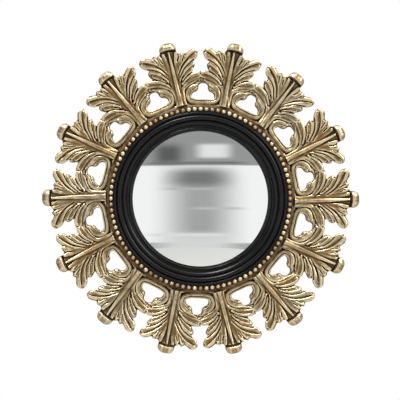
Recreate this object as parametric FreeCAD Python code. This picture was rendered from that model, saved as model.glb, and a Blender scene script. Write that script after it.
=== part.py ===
"""Convex butler's mirror: gilt leaf surround, bead moulding, black reeded slip and domed glass.

Millimetres. +Z is up, +X is to the viewer's right and the glass faces -Y. The origin is the point on the
wall where the hanging screw carries the mirror, so the wall is the plane y = 0 and every piece lies in
front of it. Depths below are distances forward from the wall, and radii are from the mirror's own centre.
"""
import FreeCAD, Part
import math
import os

from FreeCAD import Vector

# ---------------------------------------------------------------- driving dimensions
LEAF_COUNT = 14                 # carved leaves round the ring
BEAD_COUNT = 96                 # beads round the slip
BUTTON_COUNT = 6                # turn buttons that hold the backing board

# depth stack, forward from the wall
PAD_THICKNESS = 5.0             # wall pads, and so the ring's stand-off
BOARD_THICKNESS = 4.0
BOARD_GAP = 0.6                 # play round the board
RETAINER_WIDTH = 6.5
SLIP_SEAT_DEPTH = 29.0          # front of the ring where the slip lies
BEAD_SEAT_DEPTH = 34.0          # front of the ring under the bead moulding
TONGUE_THICKNESS = 10.0         # flat tongues of leaves and scrolls behind the ring
RING_EDGE_DEPTH = 24.0          # front of the ring at its thin outer edge
COVE_HOLLOW = 1.2               # how far the cove dips below a straight bevel

# radii and widths, outward from the mirror's centre
SIGHT_RADIUS = 131.0            # visible edge of the glass
GLASS_LAP = 7.0                 # glass hidden behind the slip
SLIP_WIDTH = 34.0               # the black slip, from the visible glass to its outer edge
BEAD_SETBACK = 5.0              # circle of the beads' centres, outside the slip
RING_MARGIN = 10.0              # turned ring beyond the beads' circle
LEAF_LENGTH = 120.0             # from the ring's outer edge to the curled tips

# glass
GLASS_CURVE_RADIUS = 420.0      # sphere of the domed front
GLASS_THICKNESS = 3.0
GLASS_EDGE_GAP = 1.5            # play round the blank's edge
GASKET_THICKNESS = 0.8          # felt at its thinnest
GASKET_LIP = 1.0                # felt stays this far back from the sight edge

# beads
BEAD_RADIUS = 4.8
BEAD_RAIL_THICKNESS = 1.5
BEAD_RAIL_WIDTH = 8.0
BEAD_LIFT = 3.4                 # bead centre above its seat

# leaves
HOOD_RADIUS = 12.2              # curled-over tip, a dome that overhangs the blade
HOOD_WIDTH = 32.0
HOOD_SIDE_SHIFT = 1.5           # tips sit this far to the clockwise side
HOOD_DEPTH = 40.0               # middle of the dome, forward from the wall
HOOD_DROP = 3.0                 # its flat underside, below its middle
HOOD_ROOT = 2.2                 # blade let into the dome
LEAF_LEAN = -1.2                # sideways shift of a leaf's share of the circle
RIB_HEIGHT = 2.2                # midrib above the blade
GROOVE_DEPTH = 2.4              # carved grooves along the lobes
EYE_LENGTH = 8.0                # pierced-looking slots beside the midrib
EYE_WIDTH = 2.6
EYE_DEPTH = 6.0
JOINT_GAP = 0.4                 # glue joint between neighbouring carvings

# scrolls
SCROLL_FRONT_DEPTH = 22.0
SCROLL_GROOVE_OFFSET = 4.0      # from the rim of the opening to its groove
SCROLL_GROOVE_WIDTH = 2.0
SCROLL_GROOVE_DEPTH = 2.0

# tongues and their screws
TONGUE_LENGTH = 14.0            # tongues reach this far under the ring
LEAF_TONGUE_WIDTH = 30.0
FIT_GAP = 0.3                   # seat clearance between wooden pieces
CARVING_SCREW_RADIUS = 1.75
CARVING_SCREW_LENGTH = 18.0
CARVING_SCREW_INSET = 6.0       # from the ring's outer edge
SCREW_HOLE_GAP = 0.05

# turn buttons
BUTTON_THICKNESS = 1.8
BUTTON_WIDTH = 10.0
BUTTON_LENGTH = 26.0
BUTTON_PIVOT_OFFSET = 12.0      # pivots' circle, outside the glass
BUTTON_PIVOT_INSET = 6.0        # pivot from the button's outer end
BUTTON_RUNNING_GAP = 0.1
BUTTON_SCREW_RADIUS = 1.6
BUTTON_SCREW_LENGTH = 12.0
BUTTON_FIRST_ANGLE = 30.0

# hanging plate
HANGER_WIDTH = 54.0
HANGER_HEIGHT = 23.0
HANGER_THICKNESS = 2.0
HOOK_OFFSET = 19.0              # where the wall screw bears, outside the glass
HANGER_DROP = 4.2               # middle of the plate, below that point
KEYHOLE_SLOT_RADIUS = 2.4
KEYHOLE_ENTRY_RADIUS = 5.0
KEYHOLE_TRAVEL = 9.0
KEYHOLE_POCKET_DEPTH = 9.0
KEYHOLE_POCKET_ROOM = 1.0       # pocket behind the keyhole, beyond the entry's edge
HANGER_CORNER = 3.0
HANGER_SCREW_SPACING = 42.0
HANGER_SCREW_RADIUS = 1.75
HANGER_SCREW_LENGTH = 14.0

# wall pads
PAD_RADIUS = 8.0
PAD_OFFSET = 13.0               # pads' circle, outside the glass
PAD_ANGLE = 60.0                # each side of straight down

# screws' heads, as shares of the shank's radius
HEAD_RADIUS_SHARE = 1.9
HEAD_HEIGHT_SHARE = 0.55

# ---------------------------------------------------------------- carved outlines
# Pairs are (u, v): u is sideways, and v is outwards from the mirror's centre as drawn for a ring and leaf
# tips of these radii. Where those differ, v is stretched to fit.
DRAWN_RING_RADIUS = 180.0
DRAWN_TIP_RADIUS = 300.0

# Edges of a leaf, from the ring outwards: each stretch is an arc (through, to).
LEAF_STEM_RIGHT = (15.4, 202.5)
LEAF_EDGE_RIGHT = [
    ((17.0, 211.6), (22.8, 219.4)),
    ((31.2, 223.9), (41.6, 224.5)),
    ((50.0, 223.4), (58.0, 226.0)),
    ((60.0, 231.0), (58.0, 236.6)),
    ((45.0, 237.4), (36.0, 238.4)),
    ((32.8, 236.6), (30.3, 235.7)),
    ((39.7, 243.6), (45.8, 250.8)),
    ((46.9, 254.6), (45.0, 257.0)),
    ((39.0, 256.6), (32.5, 256.8)),
    ((44.5, 260.6), (50.2, 264.3)),
    ((56.2, 270.7), (56.6, 276.4)),
    ((47.3, 280.7), (37.5, 277.5)),
    ((34.1, 276.1), (32.0, 273.7)),
    ((28.4, 279.6), (22.0, 276.8)),
]
LEAF_EDGE_LEFT = [
    ((-8.8, 213.4), (-17.4, 219.6)),
    ((-28.4, 222.6), (-37.9, 222.2)),
    ((-48.0, 221.0), (-60.0, 226.0)),
    ((-62.0, 231.0), (-60.0, 236.2)),
    ((-50.0, 239.8), (-39.4, 240.2)),
    ((-35.2, 239.1), (-31.8, 238.5)),
    ((-40.0, 245.4), (-44.3, 251.8)),
    ((-44.2, 255.6), (-40.7, 257.6)),
    ((-34.5, 256.9), (-28.0, 256.8)),
    ((-40.7, 261.0), (-47.3, 264.3)),
    ((-55.8, 271.1), (-57.4, 276.4)),
    ((-49.2, 282.6), (-38.8, 280.5)),
    ((-35.0, 279.3), (-31.8, 276.9)),
    ((-28.0, 281.6), (-22.5, 278.6)),
]
LEAF_STEM_LEFT = (-3.8, 202.5)

# Shoulders under the hood: sideways, and below the hood's middle.
SHOULDER_RIGHT = (16.8, 6.4)
SHOULDER_LEFT = (-13.8, 3.6)

# Side view of the blade: (v, depth) along its front and its back, and the depths at its top.
BLADE_FRONT = [(178.0, 27.0), (200.0, 24.5), (225.0, 26.0), (250.0, 31.0), (272.0, 38.0)]
BLADE_BACK = [(178.0, 5.0), (204.0, 5.0), (230.0, 8.0), (255.0, 15.0), (276.0, 25.0)]
BLADE_TOP_FRONT = 44.5
BLADE_TOP_BACK = 35.0

# Grooves along the lobes: root, tip and half width.
LEAF_GROOVES = [
    ((11.0, 243.0), (54.5, 274.5), 2.2),
    ((17.0, 236.0), (43.5, 252.5), 1.7),
    ((19.0, 226.5), (50.0, 231.0), 1.9),
    ((-8.0, 243.0), (-54.5, 274.5), 2.2),
    ((-14.0, 238.0), (-42.0, 254.0), 1.7),
    ((-17.0, 227.5), (-50.0, 231.0), 1.9),
]
# Slots beside the midrib: middle and tilt from upright, degrees.
LEAF_EYES = [((16.5, 267.8), 30.0), ((-15.3, 269.5), -28.0), ((14.8, 231.5), 38.0), ((-15.5, 234.0), -38.0)]

# Midrib: half width and sideways place at its foot and at its top.
RIB_FOOT = (3.0, 4.6)
RIB_TOP = (1.4, 0.4)
RIB_TOP_V = 284.0

# Opening between two leaves: right-hand half, from its bottom, as lines (to,) and arcs (through, to). Its
# centre line lies clockwise of the scroll's own by this many degrees.
OPENING_LEAN = 1.6
OPENING_BOTTOM = (0.0, 191.0)
OPENING_EDGE = [
    ((14.0, 191.0),),
    ((20.8, 193.2), (21.8, 198.2)),
    ((20.4, 203.0), (14.8, 206.4)),
    ((10.6, 209.8), (8.9, 214.5)),
    ((7.2, 221.4), (0.0, 223.4)),
]
SCROLL_TOP = 232.0              # the scrolls close behind the tips of the lower lobes, below this

# Slip's section as drawn for a slip of this width: (outward from the sight edge, height above the seat),
# each stretch a line or an arc.
DRAWN_SLIP_WIDTH = 34.0
SLIP_INNER_HEIGHT = 3.5
SLIP_SECTION = [
    ((2.1, 5.4), (4.2, 4.0)),
    ((6.0, 3.0),),
    ((8.4, 3.6),),
    ((12.0, 7.9), (16.0, 8.8)),
    ((17.3, 7.4),),
    ((18.4, 8.8),),
    ((22.8, 13.0), (26.8, 10.4)),
    ((27.8, 8.4),),
    ((29.0, 9.2),),
    ((31.4, 11.2), (34.0, 8.6)),
]

# ---------------------------------------------------------------- worked-out places
GLASS_RADIUS = SIGHT_RADIUS + GLASS_LAP
SLIP_RADIUS = SIGHT_RADIUS + SLIP_WIDTH
BEAD_RING_RADIUS = SLIP_RADIUS + BEAD_SETBACK
RING_RADIUS = BEAD_RING_RADIUS + RING_MARGIN
LEAF_TIP_RADIUS = RING_RADIUS + LEAF_LENGTH
HOOD_MIDDLE = LEAF_TIP_RADIUS - HOOD_RADIUS
TONGUE_INNER_RADIUS = RING_RADIUS - TONGUE_LENGTH
CARVING_SCREW_CIRCLE = RING_RADIUS - CARVING_SCREW_INSET
BUTTON_PIVOT_CIRCLE = GLASS_RADIUS + BUTTON_PIVOT_OFFSET
HOOK_RADIUS = GLASS_RADIUS + HOOK_OFFSET
HANGER_CIRCLE = HOOK_RADIUS - HANGER_DROP
PAD_CIRCLE = GLASS_RADIUS + PAD_OFFSET
LEAF_FRONT = HOOD_DEPTH + HOOD_RADIUS
RING_BACK = PAD_THICKNESS
TONGUE_FRONT = RING_BACK + TONGUE_THICKNESS
BORE_RADIUS = GLASS_RADIUS + GLASS_EDGE_GAP
PITCH = 360.0 / LEAF_COUNT
BOARD_FRONT = RING_BACK + BOARD_THICKNESS
BUTTON_BACK = RING_BACK - BUTTON_RUNNING_GAP - BUTTON_THICKNESS
HANGER_BACK = RING_BACK - HANGER_THICKNESS
KEYHOLE_POCKET_RADIUS = KEYHOLE_ENTRY_RADIUS + KEYHOLE_POCKET_ROOM
LIP_RADIUS = SIGHT_RADIUS + GASKET_LIP


def dome_drop(radius, curve):
    """Fall of a sphere of the given curve from its apex out to a radius."""
    return curve - math.sqrt(curve * curve - radius * radius)


GLASS_APEX = SLIP_SEAT_DEPTH - GASKET_THICKNESS + dome_drop(LIP_RADIUS, GLASS_CURVE_RADIUS)
GLASS_BACK_CURVE = GLASS_CURVE_RADIUS - GLASS_THICKNESS
GLASS_BACK_EDGE = GLASS_APEX - GLASS_THICKNESS - dome_drop(GLASS_RADIUS, GLASS_BACK_CURVE)
AXIS = Vector(0, 1, 0)
CENTRE = Vector(0, 0, 0)


# ---------------------------------------------------------------- drawing helpers
def spot(u, v, depth):
    """A point from its sideways, outward and forward places."""
    return Vector(u, -depth, v)


def forward(length):
    """A step forward, away from the wall."""
    return Vector(0, -length, 0)


def section_spot(pair):
    """A (radius, depth) pair of a turned section as a point."""
    return spot(pair[0], 0, pair[1])


def plan_spot(pair):
    """A (u, v) pair of a carved outline as a point in the wall plane."""
    return spot(pair[0], pair[1], 0)


def outward(v):
    """The radius at which a drawn one lies, between the real ring and the real leaf tips."""
    return RING_RADIUS + (v - DRAWN_RING_RADIUS) * LEAF_LENGTH / (DRAWN_TIP_RADIUS - DRAWN_RING_RADIUS)


def drawn(stretches):
    """Stretches of a drawn outline at their real radii."""
    return [tuple((u, outward(v)) for u, v in stretch) for stretch in stretches]


def side_view(profile, top_depth):
    """A (v, depth) profile of the blade at its real radii, up to its root in the hood."""
    return [(outward(v), depth) for v, depth in profile] + [(HOOD_MIDDLE + HOOD_ROOT, top_depth)]


def edges_through(start, stretches, place):
    """Edges from a start pair along lines (to,) and arcs (through, to)."""
    edges = []
    here = place(start)
    for stretch in stretches:
        there = place(stretch[-1])
        if len(stretch) == 2:
            edges.append(Part.Arc(here, place(stretch[0]), there).toShape())
        else:
            edges.append(Part.makeLine(here, there))
        here = there
    return edges


def face_of(edges):
    """A flat face inside a closed loop of edges."""
    return Part.Face(Part.Wire(Part.__sortEdges__(edges)))


def turned_solid(start, stretches):
    """A full turn of a closed (radius, depth) section about the mirror's axis."""
    edges = edges_through(start, stretches + [(start,)], section_spot)
    return face_of(edges).revolve(CENTRE, AXIS, 360)


def clockwise(shape, degrees):
    """A copy turned clockwise about the mirror's axis, as seen from the front."""
    copy = shape.copy()
    copy.rotate(CENTRE, AXIS, degrees)
    return copy


def disc(radius, back, front, u=0.0, v=0.0):
    """A round plug along the depth."""
    return Part.makeCylinder(radius, front - back, spot(u, v, back), forward(1))


def flat_ring(inner, outer, back, front):
    """A flat ring about the mirror's axis."""
    return disc(outer, back, front).cut(disc(inner, back - 1, front + 1))


def wedge(half_angle, reach, back, front):
    """A block between two radial lines, each side of straight up."""
    side = reach * math.tan(math.radians(half_angle))
    corners = [spot(0, 0, back), spot(side, reach, back), spot(-side, reach, back)]
    return Part.Face(Part.makePolygon(corners + corners[:1])).extrude(forward(front - back))


def ring_sector(inner, outer, half_angle, back, front):
    """Part of a flat ring, each side of straight up."""
    return flat_ring(inner, outer, back, front).common(wedge(half_angle, 2 * outer, back, front))


def slot(low_v, high_v, radius, back, front):
    """A round-ended upright slot on the centre line."""
    block = Part.makeBox(2 * radius, front - back, high_v - low_v, spot(-radius, low_v, front))
    return block.fuse([disc(radius, back, front, v=low_v), disc(radius, back, front, v=high_v)])


def spindle(start, end, radius):
    """A slim form, pointed at both ends, between two points."""
    along = end - start
    half = along.Length / 2
    section = face_of([
        Part.Arc(Vector(-half, 0, 0), Vector(0, radius, 0), Vector(half, 0, 0)).toShape(),
        Part.makeLine(Vector(half, 0, 0), Vector(-half, 0, 0)),
    ])
    solid = section.revolve(CENTRE, Vector(1, 0, 0), 360)
    turn = FreeCAD.Rotation(Vector(1, 0, 0), along)
    solid.Placement = FreeCAD.Placement((start + end) / 2, turn)
    return solid


def on_curve(profile, v):
    """Depth of a (v, depth) profile at one v."""
    for (v0, d0), (v1, d1) in zip(profile, profile[1:]):
        if v <= v1:
            return d0 + (d1 - d0) * (v - v0) / (v1 - v0)
    return profile[-1][1]


# ---------------------------------------------------------------- screws
def screw(u, v, head_back, radius, length):
    """A countersunk wood screw whose flat head faces the wall."""
    head = HEAD_RADIUS_SHARE * radius
    rise = HEAD_HEIGHT_SHARE * head
    tip = head_back + length - radius
    cone = Part.makeCone(head, radius, rise, spot(u, v, head_back), forward(1))
    point = Part.makeCone(radius, radius / 4, radius, spot(u, v, tip), forward(1))
    return cone.fuse([disc(radius, head_back, tip, u, v), point]).removeSplitter()


def screw_hole(u, v, head_back, radius, length):
    """The hole that such a screw fills, with its clearance."""
    head = HEAD_RADIUS_SHARE * radius
    rise = HEAD_HEIGHT_SHARE * head
    room = radius + SCREW_HOLE_GAP
    cone = Part.makeCone(head + SCREW_HOLE_GAP, room, rise, spot(u, v, head_back), forward(1))
    shank = disc(room, head_back - 1, head_back + length + SCREW_HOLE_GAP, u, v)
    return cone.fuse(shank)


# ---------------------------------------------------------------- leaves
LEAF_FOOT = RING_RADIUS + FIT_GAP
FRONT_PROFILE = side_view(BLADE_FRONT, BLADE_TOP_FRONT)
BACK_PROFILE = side_view(BLADE_BACK, BLADE_TOP_BACK)


def shoulder(u, drop):
    """The last two lines of a leaf's edge, up to the middle of its hood."""
    return [((u, HOOD_MIDDLE - drop),), ((u, HOOD_MIDDLE),)]


def leaf_face():
    """Outline of a leaf's blade as a flat face in the wall plane."""
    right_foot = (LEAF_STEM_RIGHT[0], math.sqrt(LEAF_FOOT ** 2 - LEAF_STEM_RIGHT[0] ** 2))
    left_foot = (LEAF_STEM_LEFT[0], math.sqrt(LEAF_FOOT ** 2 - LEAF_STEM_LEFT[0] ** 2))
    right = drawn([(LEAF_STEM_RIGHT,)] + LEAF_EDGE_RIGHT) + shoulder(*SHOULDER_RIGHT)
    left = drawn([(LEAF_STEM_LEFT,)] + LEAF_EDGE_LEFT) + shoulder(*SHOULDER_LEFT)
    edges = edges_through(right_foot, right, plan_spot) + edges_through(left_foot, left, plan_spot)
    edges += edges_through(left_foot, [((0, LEAF_FOOT), right_foot)], plan_spot)
    edges += edges_through(left[-1][0], [(right[-1][0],)], plan_spot)
    return face_of(edges)


def blade_slab(lift):
    """The bent board that a leaf is carved from, seen from the side and as wide as needed."""
    reach = LEAF_TIP_RADIUS
    front = [spot(-reach, v, depth + lift) for v, depth in FRONT_PROFILE]
    back = [spot(-reach, v, depth) for v, depth in reversed(BACK_PROFILE)]
    curves = []
    for points in (front, back):
        spline = Part.BSplineCurve()
        spline.interpolate(points)
        curves.append(spline.toShape())
    ends = [Part.makeLine(front[-1], back[0]), Part.makeLine(back[-1], front[0])]
    return face_of(curves + ends).extrude(Vector(2 * reach, 0, 0))


def hood():
    """The curled-over tip of a leaf: a round-ended dome above its flat underside."""
    run = HOOD_WIDTH / 2 - HOOD_RADIUS
    bar = Part.makeCylinder(HOOD_RADIUS, 2 * run, Vector(-run, 0, 0), Vector(1, 0, 0))
    ends = [Part.makeSphere(HOOD_RADIUS, Vector(side * run, 0, 0)) for side in (-1, 1)]
    above = Part.makeBox(HOOD_WIDTH, 2 * HOOD_RADIUS, 2 * HOOD_RADIUS,
                         Vector(-HOOD_WIDTH / 2, -HOOD_RADIUS, -HOOD_DROP))
    dome = bar.fuse(ends).removeSplitter().common(above)
    dome.translate(spot(HOOD_SIDE_SHIFT, HOOD_MIDDLE, HOOD_DEPTH))
    return dome


def midrib():
    """The raised rib up the middle of a leaf."""
    (foot_half, foot_u), (top_half, top_u) = RIB_FOOT, RIB_TOP
    corners = [
        spot(foot_u - foot_half, LEAF_FOOT, 0), spot(foot_u + foot_half, LEAF_FOOT, 0),
        spot(top_u + top_half, outward(RIB_TOP_V), 0), spot(top_u - top_half, outward(RIB_TOP_V), 0),
    ]
    plan = Part.Face(Part.makePolygon(corners + corners[:1])).extrude(forward(LEAF_FRONT))
    return plan.common(blade_slab(RIB_HEIGHT))


def eye(middle, tilt):
    """A round-ended slot sunk into the blade's front beside the midrib."""
    place = outward(middle[1])
    floor = on_curve(FRONT_PROFILE, place) - EYE_DEPTH
    run = (EYE_LENGTH - EYE_WIDTH) / 2
    cutter = slot(-run, run, EYE_WIDTH / 2, floor, floor + 2 * EYE_DEPTH)
    cutter.rotate(CENTRE, AXIS, tilt)
    cutter.translate(spot(middle[0], place, 0))
    return cutter


def groove(root, tip, half_width):
    """A carved groove from a lobe's root to its tip."""
    lift = half_width - GROOVE_DEPTH / 2
    places = [(u, outward(v)) for u, v in (root, tip)]
    ends = [spot(u, v, on_curve(FRONT_PROFILE, v) + lift) for u, v in places]
    return spindle(ends[0], ends[1], half_width)


def tongue_angle():
    """Half the angle that a leaf's tongue takes, its joints left out."""
    return math.degrees(math.asin(LEAF_TONGUE_WIDTH / 2 / TONGUE_INNER_RADIUS))


def joint_angle():
    """Half of a joint between two carvings, as an angle at the tongues."""
    return math.degrees(JOINT_GAP / 2 / TONGUE_INNER_RADIUS)


def carving_hole():
    """The screw hole through a carving's tongue and into the ring."""
    return screw_hole(0, CARVING_SCREW_CIRCLE, RING_BACK, CARVING_SCREW_RADIUS, CARVING_SCREW_LENGTH)


def make_leaf():
    """One leaf, standing straight up from the ring."""
    plan = leaf_face().extrude(forward(LEAF_FRONT))
    blade = plan.common(blade_slab(0))
    tongue = ring_sector(TONGUE_INNER_RADIUS, RING_RADIUS, tongue_angle() - joint_angle(),
                         RING_BACK, TONGUE_FRONT)
    stem_width = LEAF_STEM_RIGHT[0] - LEAF_STEM_LEFT[0]
    neck = Part.makeBox(stem_width, TONGUE_THICKNESS, 2 * TONGUE_THICKNESS,
                        spot(LEAF_STEM_LEFT[0], RING_RADIUS - TONGUE_THICKNESS, TONGUE_FRONT))
    leaf = blade.fuse([tongue, neck, midrib(), hood()])
    leaf = leaf.cut([groove(*each) for each in LEAF_GROOVES] + [eye(*each) for each in LEAF_EYES])
    share = wedge(PITCH / 2, 2 * LEAF_TIP_RADIUS, 0, 2 * LEAF_FRONT)
    share.translate(Vector(LEAF_LEAN, 0, JOINT_GAP / 2 / math.sin(math.radians(PITCH / 2))))
    return leaf.common(share).cut(carving_hole()).removeSplitter()


# ---------------------------------------------------------------- scrolls
def opening_face():
    """Outline of a see-through opening as a flat face in the wall plane, standing straight up."""
    bottom = (OPENING_BOTTOM[0], outward(OPENING_BOTTOM[1]))
    right = drawn(OPENING_EDGE)
    left = [tuple((-u, v) for u, v in stretch) for stretch in right]
    edges = [edge for half in (right, left) for edge in edges_through(bottom, half, plan_spot)]
    return clockwise(face_of(edges), OPENING_LEAN)


def make_scroll():
    """One C-scroll, standing straight up between two leaves."""
    top = outward(SCROLL_TOP)
    span = top * math.tan(math.radians(PITCH / 2))
    corners = [spot(-span, 0, 0), spot(span, 0, 0), spot(span, top, 0), spot(-span, top, 0)]
    opening = opening_face()
    leaf_room = leaf_face().makeOffset2D(JOINT_GAP)
    plan = Part.Face(Part.makePolygon(corners + corners[:1]))
    plan = plan.cut([Part.Face(Part.Wire(Part.makeCircle(LEAF_FOOT, CENTRE, AXIS))), opening,
                     clockwise(leaf_room, PITCH / 2), clockwise(leaf_room, -PITCH / 2)])
    plan = plan.common(wedge(PITCH / 2, 2 * LEAF_TIP_RADIUS, -1, 1))
    body = plan.extrude(forward(SCROLL_FRONT_DEPTH - RING_BACK))
    body.translate(forward(RING_BACK))
    rim = opening.makeOffset2D(SCROLL_GROOVE_OFFSET)
    channel = rim.makeOffset2D(SCROLL_GROOVE_WIDTH).cut(rim).extrude(forward(2 * SCROLL_GROOVE_DEPTH))
    channel.translate(forward(SCROLL_FRONT_DEPTH - SCROLL_GROOVE_DEPTH))
    half_angle = PITCH / 2 - tongue_angle() - joint_angle()
    tongue = ring_sector(TONGUE_INNER_RADIUS, LEAF_FOOT + TONGUE_THICKNESS / 2, half_angle,
                         RING_BACK, TONGUE_FRONT)
    return body.cut(channel).fuse(tongue).cut(carving_hole()).removeSplitter()


# ---------------------------------------------------------------- rings and glass
def button_angles():
    """Places of the turn buttons, clockwise from the top."""
    return [BUTTON_FIRST_ANGLE + 360.0 / BUTTON_COUNT * number for number in range(BUTTON_COUNT)]


def button_hole():
    """The screw hole through a button and into the ring."""
    return screw_hole(0, BUTTON_PIVOT_CIRCLE, BUTTON_BACK, BUTTON_SCREW_RADIUS, BUTTON_SCREW_LENGTH)


def hanger_holes():
    """The two screw holes of the hanging plate."""
    return [screw_hole(side * HANGER_SCREW_SPACING / 2, HANGER_CIRCLE, HANGER_BACK, HANGER_SCREW_RADIUS,
                       HANGER_SCREW_LENGTH) for side in (-1, 1)]


def make_ring():
    """The turned ring that carries everything else."""
    rebate = TONGUE_INNER_RADIUS - FIT_GAP
    slip_wall = SLIP_RADIUS + FIT_GAP
    bead_edge = BEAD_RING_RADIUS + BEAD_RADIUS
    cove_middle = (bead_edge + COVE_HOLLOW, (RING_EDGE_DEPTH + BEAD_SEAT_DEPTH) / 2 - COVE_HOLLOW)
    ring = turned_solid((BORE_RADIUS, RING_BACK), [
        ((rebate, RING_BACK),), ((rebate, TONGUE_FRONT),), ((RING_RADIUS, TONGUE_FRONT),),
        ((RING_RADIUS, RING_EDGE_DEPTH),), (cove_middle, (bead_edge, BEAD_SEAT_DEPTH)),
        ((slip_wall, BEAD_SEAT_DEPTH),), ((slip_wall, SLIP_SEAT_DEPTH),), ((BORE_RADIUS, SLIP_SEAT_DEPTH),),
    ])
    holes = [clockwise(carving_hole(), PITCH / 2 * number) for number in range(2 * LEAF_COUNT)]
    holes += [clockwise(button_hole(), angle) for angle in button_angles()] + hanger_holes()
    holes.append(slot(HOOK_RADIUS - KEYHOLE_TRAVEL, HOOK_RADIUS, KEYHOLE_POCKET_RADIUS,
                      RING_BACK - 1, RING_BACK + KEYHOLE_POCKET_DEPTH))
    return ring.cut(holes)


def make_bead_ring():
    """The bead moulding: a thin rail with a row of beads, flat underneath."""
    half = BEAD_RAIL_WIDTH / 2
    rail = flat_ring(BEAD_RING_RADIUS - half, BEAD_RING_RADIUS + half, BEAD_SEAT_DEPTH,
                     BEAD_SEAT_DEPTH + BEAD_RAIL_THICKNESS)
    lowest = -math.degrees(math.asin(BEAD_LIFT / BEAD_RADIUS))
    bead = Part.makeSphere(BEAD_RADIUS, spot(0, BEAD_RING_RADIUS, BEAD_SEAT_DEPTH + BEAD_LIFT),
                           forward(1), lowest, 90, 360)
    beads = [clockwise(bead, 360.0 / BEAD_COUNT * number) for number in range(BEAD_COUNT)]
    return rail.fuse(beads)


def make_slip():
    """The black reeded ring that covers the edge of the glass."""
    seat = (SIGHT_RADIUS, SLIP_SEAT_DEPTH)
    inner_top = (SIGHT_RADIUS, SLIP_SEAT_DEPTH + SLIP_INNER_HEIGHT)
    share = SLIP_WIDTH / DRAWN_SLIP_WIDTH
    reeds = [tuple((SIGHT_RADIUS + share * out, SLIP_SEAT_DEPTH + up) for out, up in stretch)
             for stretch in SLIP_SECTION]
    return turned_solid(seat, [(inner_top,)] + reeds + [((SLIP_RADIUS, SLIP_SEAT_DEPTH),)])


def front_depth(radius):
    """Depth of the glass's domed front at a radius."""
    return GLASS_APEX - dome_drop(radius, GLASS_CURVE_RADIUS)


def make_glass():
    """The domed looking glass, the same thickness all over."""
    middle = GLASS_RADIUS / 2
    back_middle = GLASS_APEX - GLASS_THICKNESS - dome_drop(middle, GLASS_BACK_CURVE)
    return turned_solid((0, GLASS_APEX), [
        ((middle, front_depth(middle)), (GLASS_RADIUS, front_depth(GLASS_RADIUS))),
        ((GLASS_RADIUS, GLASS_BACK_EDGE),),
        ((middle, back_middle), (0, GLASS_APEX - GLASS_THICKNESS)),
    ])


def make_gasket():
    """Felt between the glass and the slip, flat in front and domed behind."""
    middle = (LIP_RADIUS + GLASS_RADIUS) / 2
    lift = SCREW_HOLE_GAP
    return turned_solid((LIP_RADIUS, SLIP_SEAT_DEPTH), [
        ((LIP_RADIUS, front_depth(LIP_RADIUS) + lift),),
        ((middle, front_depth(middle) + lift), (GLASS_RADIUS, front_depth(GLASS_RADIUS) + lift)),
        ((GLASS_RADIUS, SLIP_SEAT_DEPTH),),
    ])


def make_retainer():
    """The wooden ring that holds the glass forward against its felt."""
    return flat_ring(BORE_RADIUS - FIT_GAP - RETAINER_WIDTH, BORE_RADIUS - FIT_GAP,
                     BOARD_FRONT, GLASS_BACK_EDGE - FIT_GAP)


def make_board():
    """The backing board, flush with the back of the ring."""
    return disc(BORE_RADIUS - BOARD_GAP, RING_BACK, BOARD_FRONT)


# ---------------------------------------------------------------- hardware
def make_button():
    """A turn button at the top of the ring, its long end over the board."""
    radius = BUTTON_WIDTH / 2
    outer = BUTTON_PIVOT_CIRCLE + BUTTON_PIVOT_INSET - radius
    inner = BUTTON_PIVOT_CIRCLE + BUTTON_PIVOT_INSET - BUTTON_LENGTH + radius
    plate = slot(inner, outer, radius, BUTTON_BACK, BUTTON_BACK + BUTTON_THICKNESS)
    return plate.removeSplitter().cut(button_hole())


def make_hanger():
    """The keyhole plate that hangs on a screw in the wall."""
    plate = Part.makeBox(HANGER_WIDTH, HANGER_THICKNESS, HANGER_HEIGHT,
                         spot(-HANGER_WIDTH / 2, HANGER_CIRCLE - HANGER_HEIGHT / 2, RING_BACK))
    corners = [edge for edge in plate.Edges if abs(edge.tangentAt(edge.FirstParameter).y) > 0.9]
    plate = plate.makeFillet(HANGER_CORNER, corners)
    entry = HOOK_RADIUS - KEYHOLE_TRAVEL
    keyhole = slot(entry, HOOK_RADIUS, KEYHOLE_SLOT_RADIUS, HANGER_BACK - 1, RING_BACK + 1)
    head = disc(KEYHOLE_ENTRY_RADIUS, HANGER_BACK - 1, RING_BACK + 1, v=entry)
    return plate.cut([keyhole.fuse(head)] + hanger_holes())


def make_pad(angle):
    """A round wall pad at the back of the ring."""
    return clockwise(disc(PAD_RADIUS, 0, PAD_THICKNESS, v=PAD_CIRCLE), angle)


def screws_round(angles, circle, head_back, radius, length):
    """A set of screws on a circle, as separate solids."""
    one = screw(0, circle, head_back, radius, length)
    return Part.makeCompound([clockwise(one, angle) for angle in angles])


# ---------------------------------------------------------------- output
def save(name, shape):
    """Write one piece, moved so that the hanging point is the origin."""
    placed = shape.copy()
    placed.translate(Vector(0, 0, -HOOK_RADIUS))
    placed.exportStep(f"parts/{name}.step")
    print(f"{name}: {len(placed.Solids)} solid(s), valid {placed.isValid()}, {placed.Volume / 1000:.1f} cm3")


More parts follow.
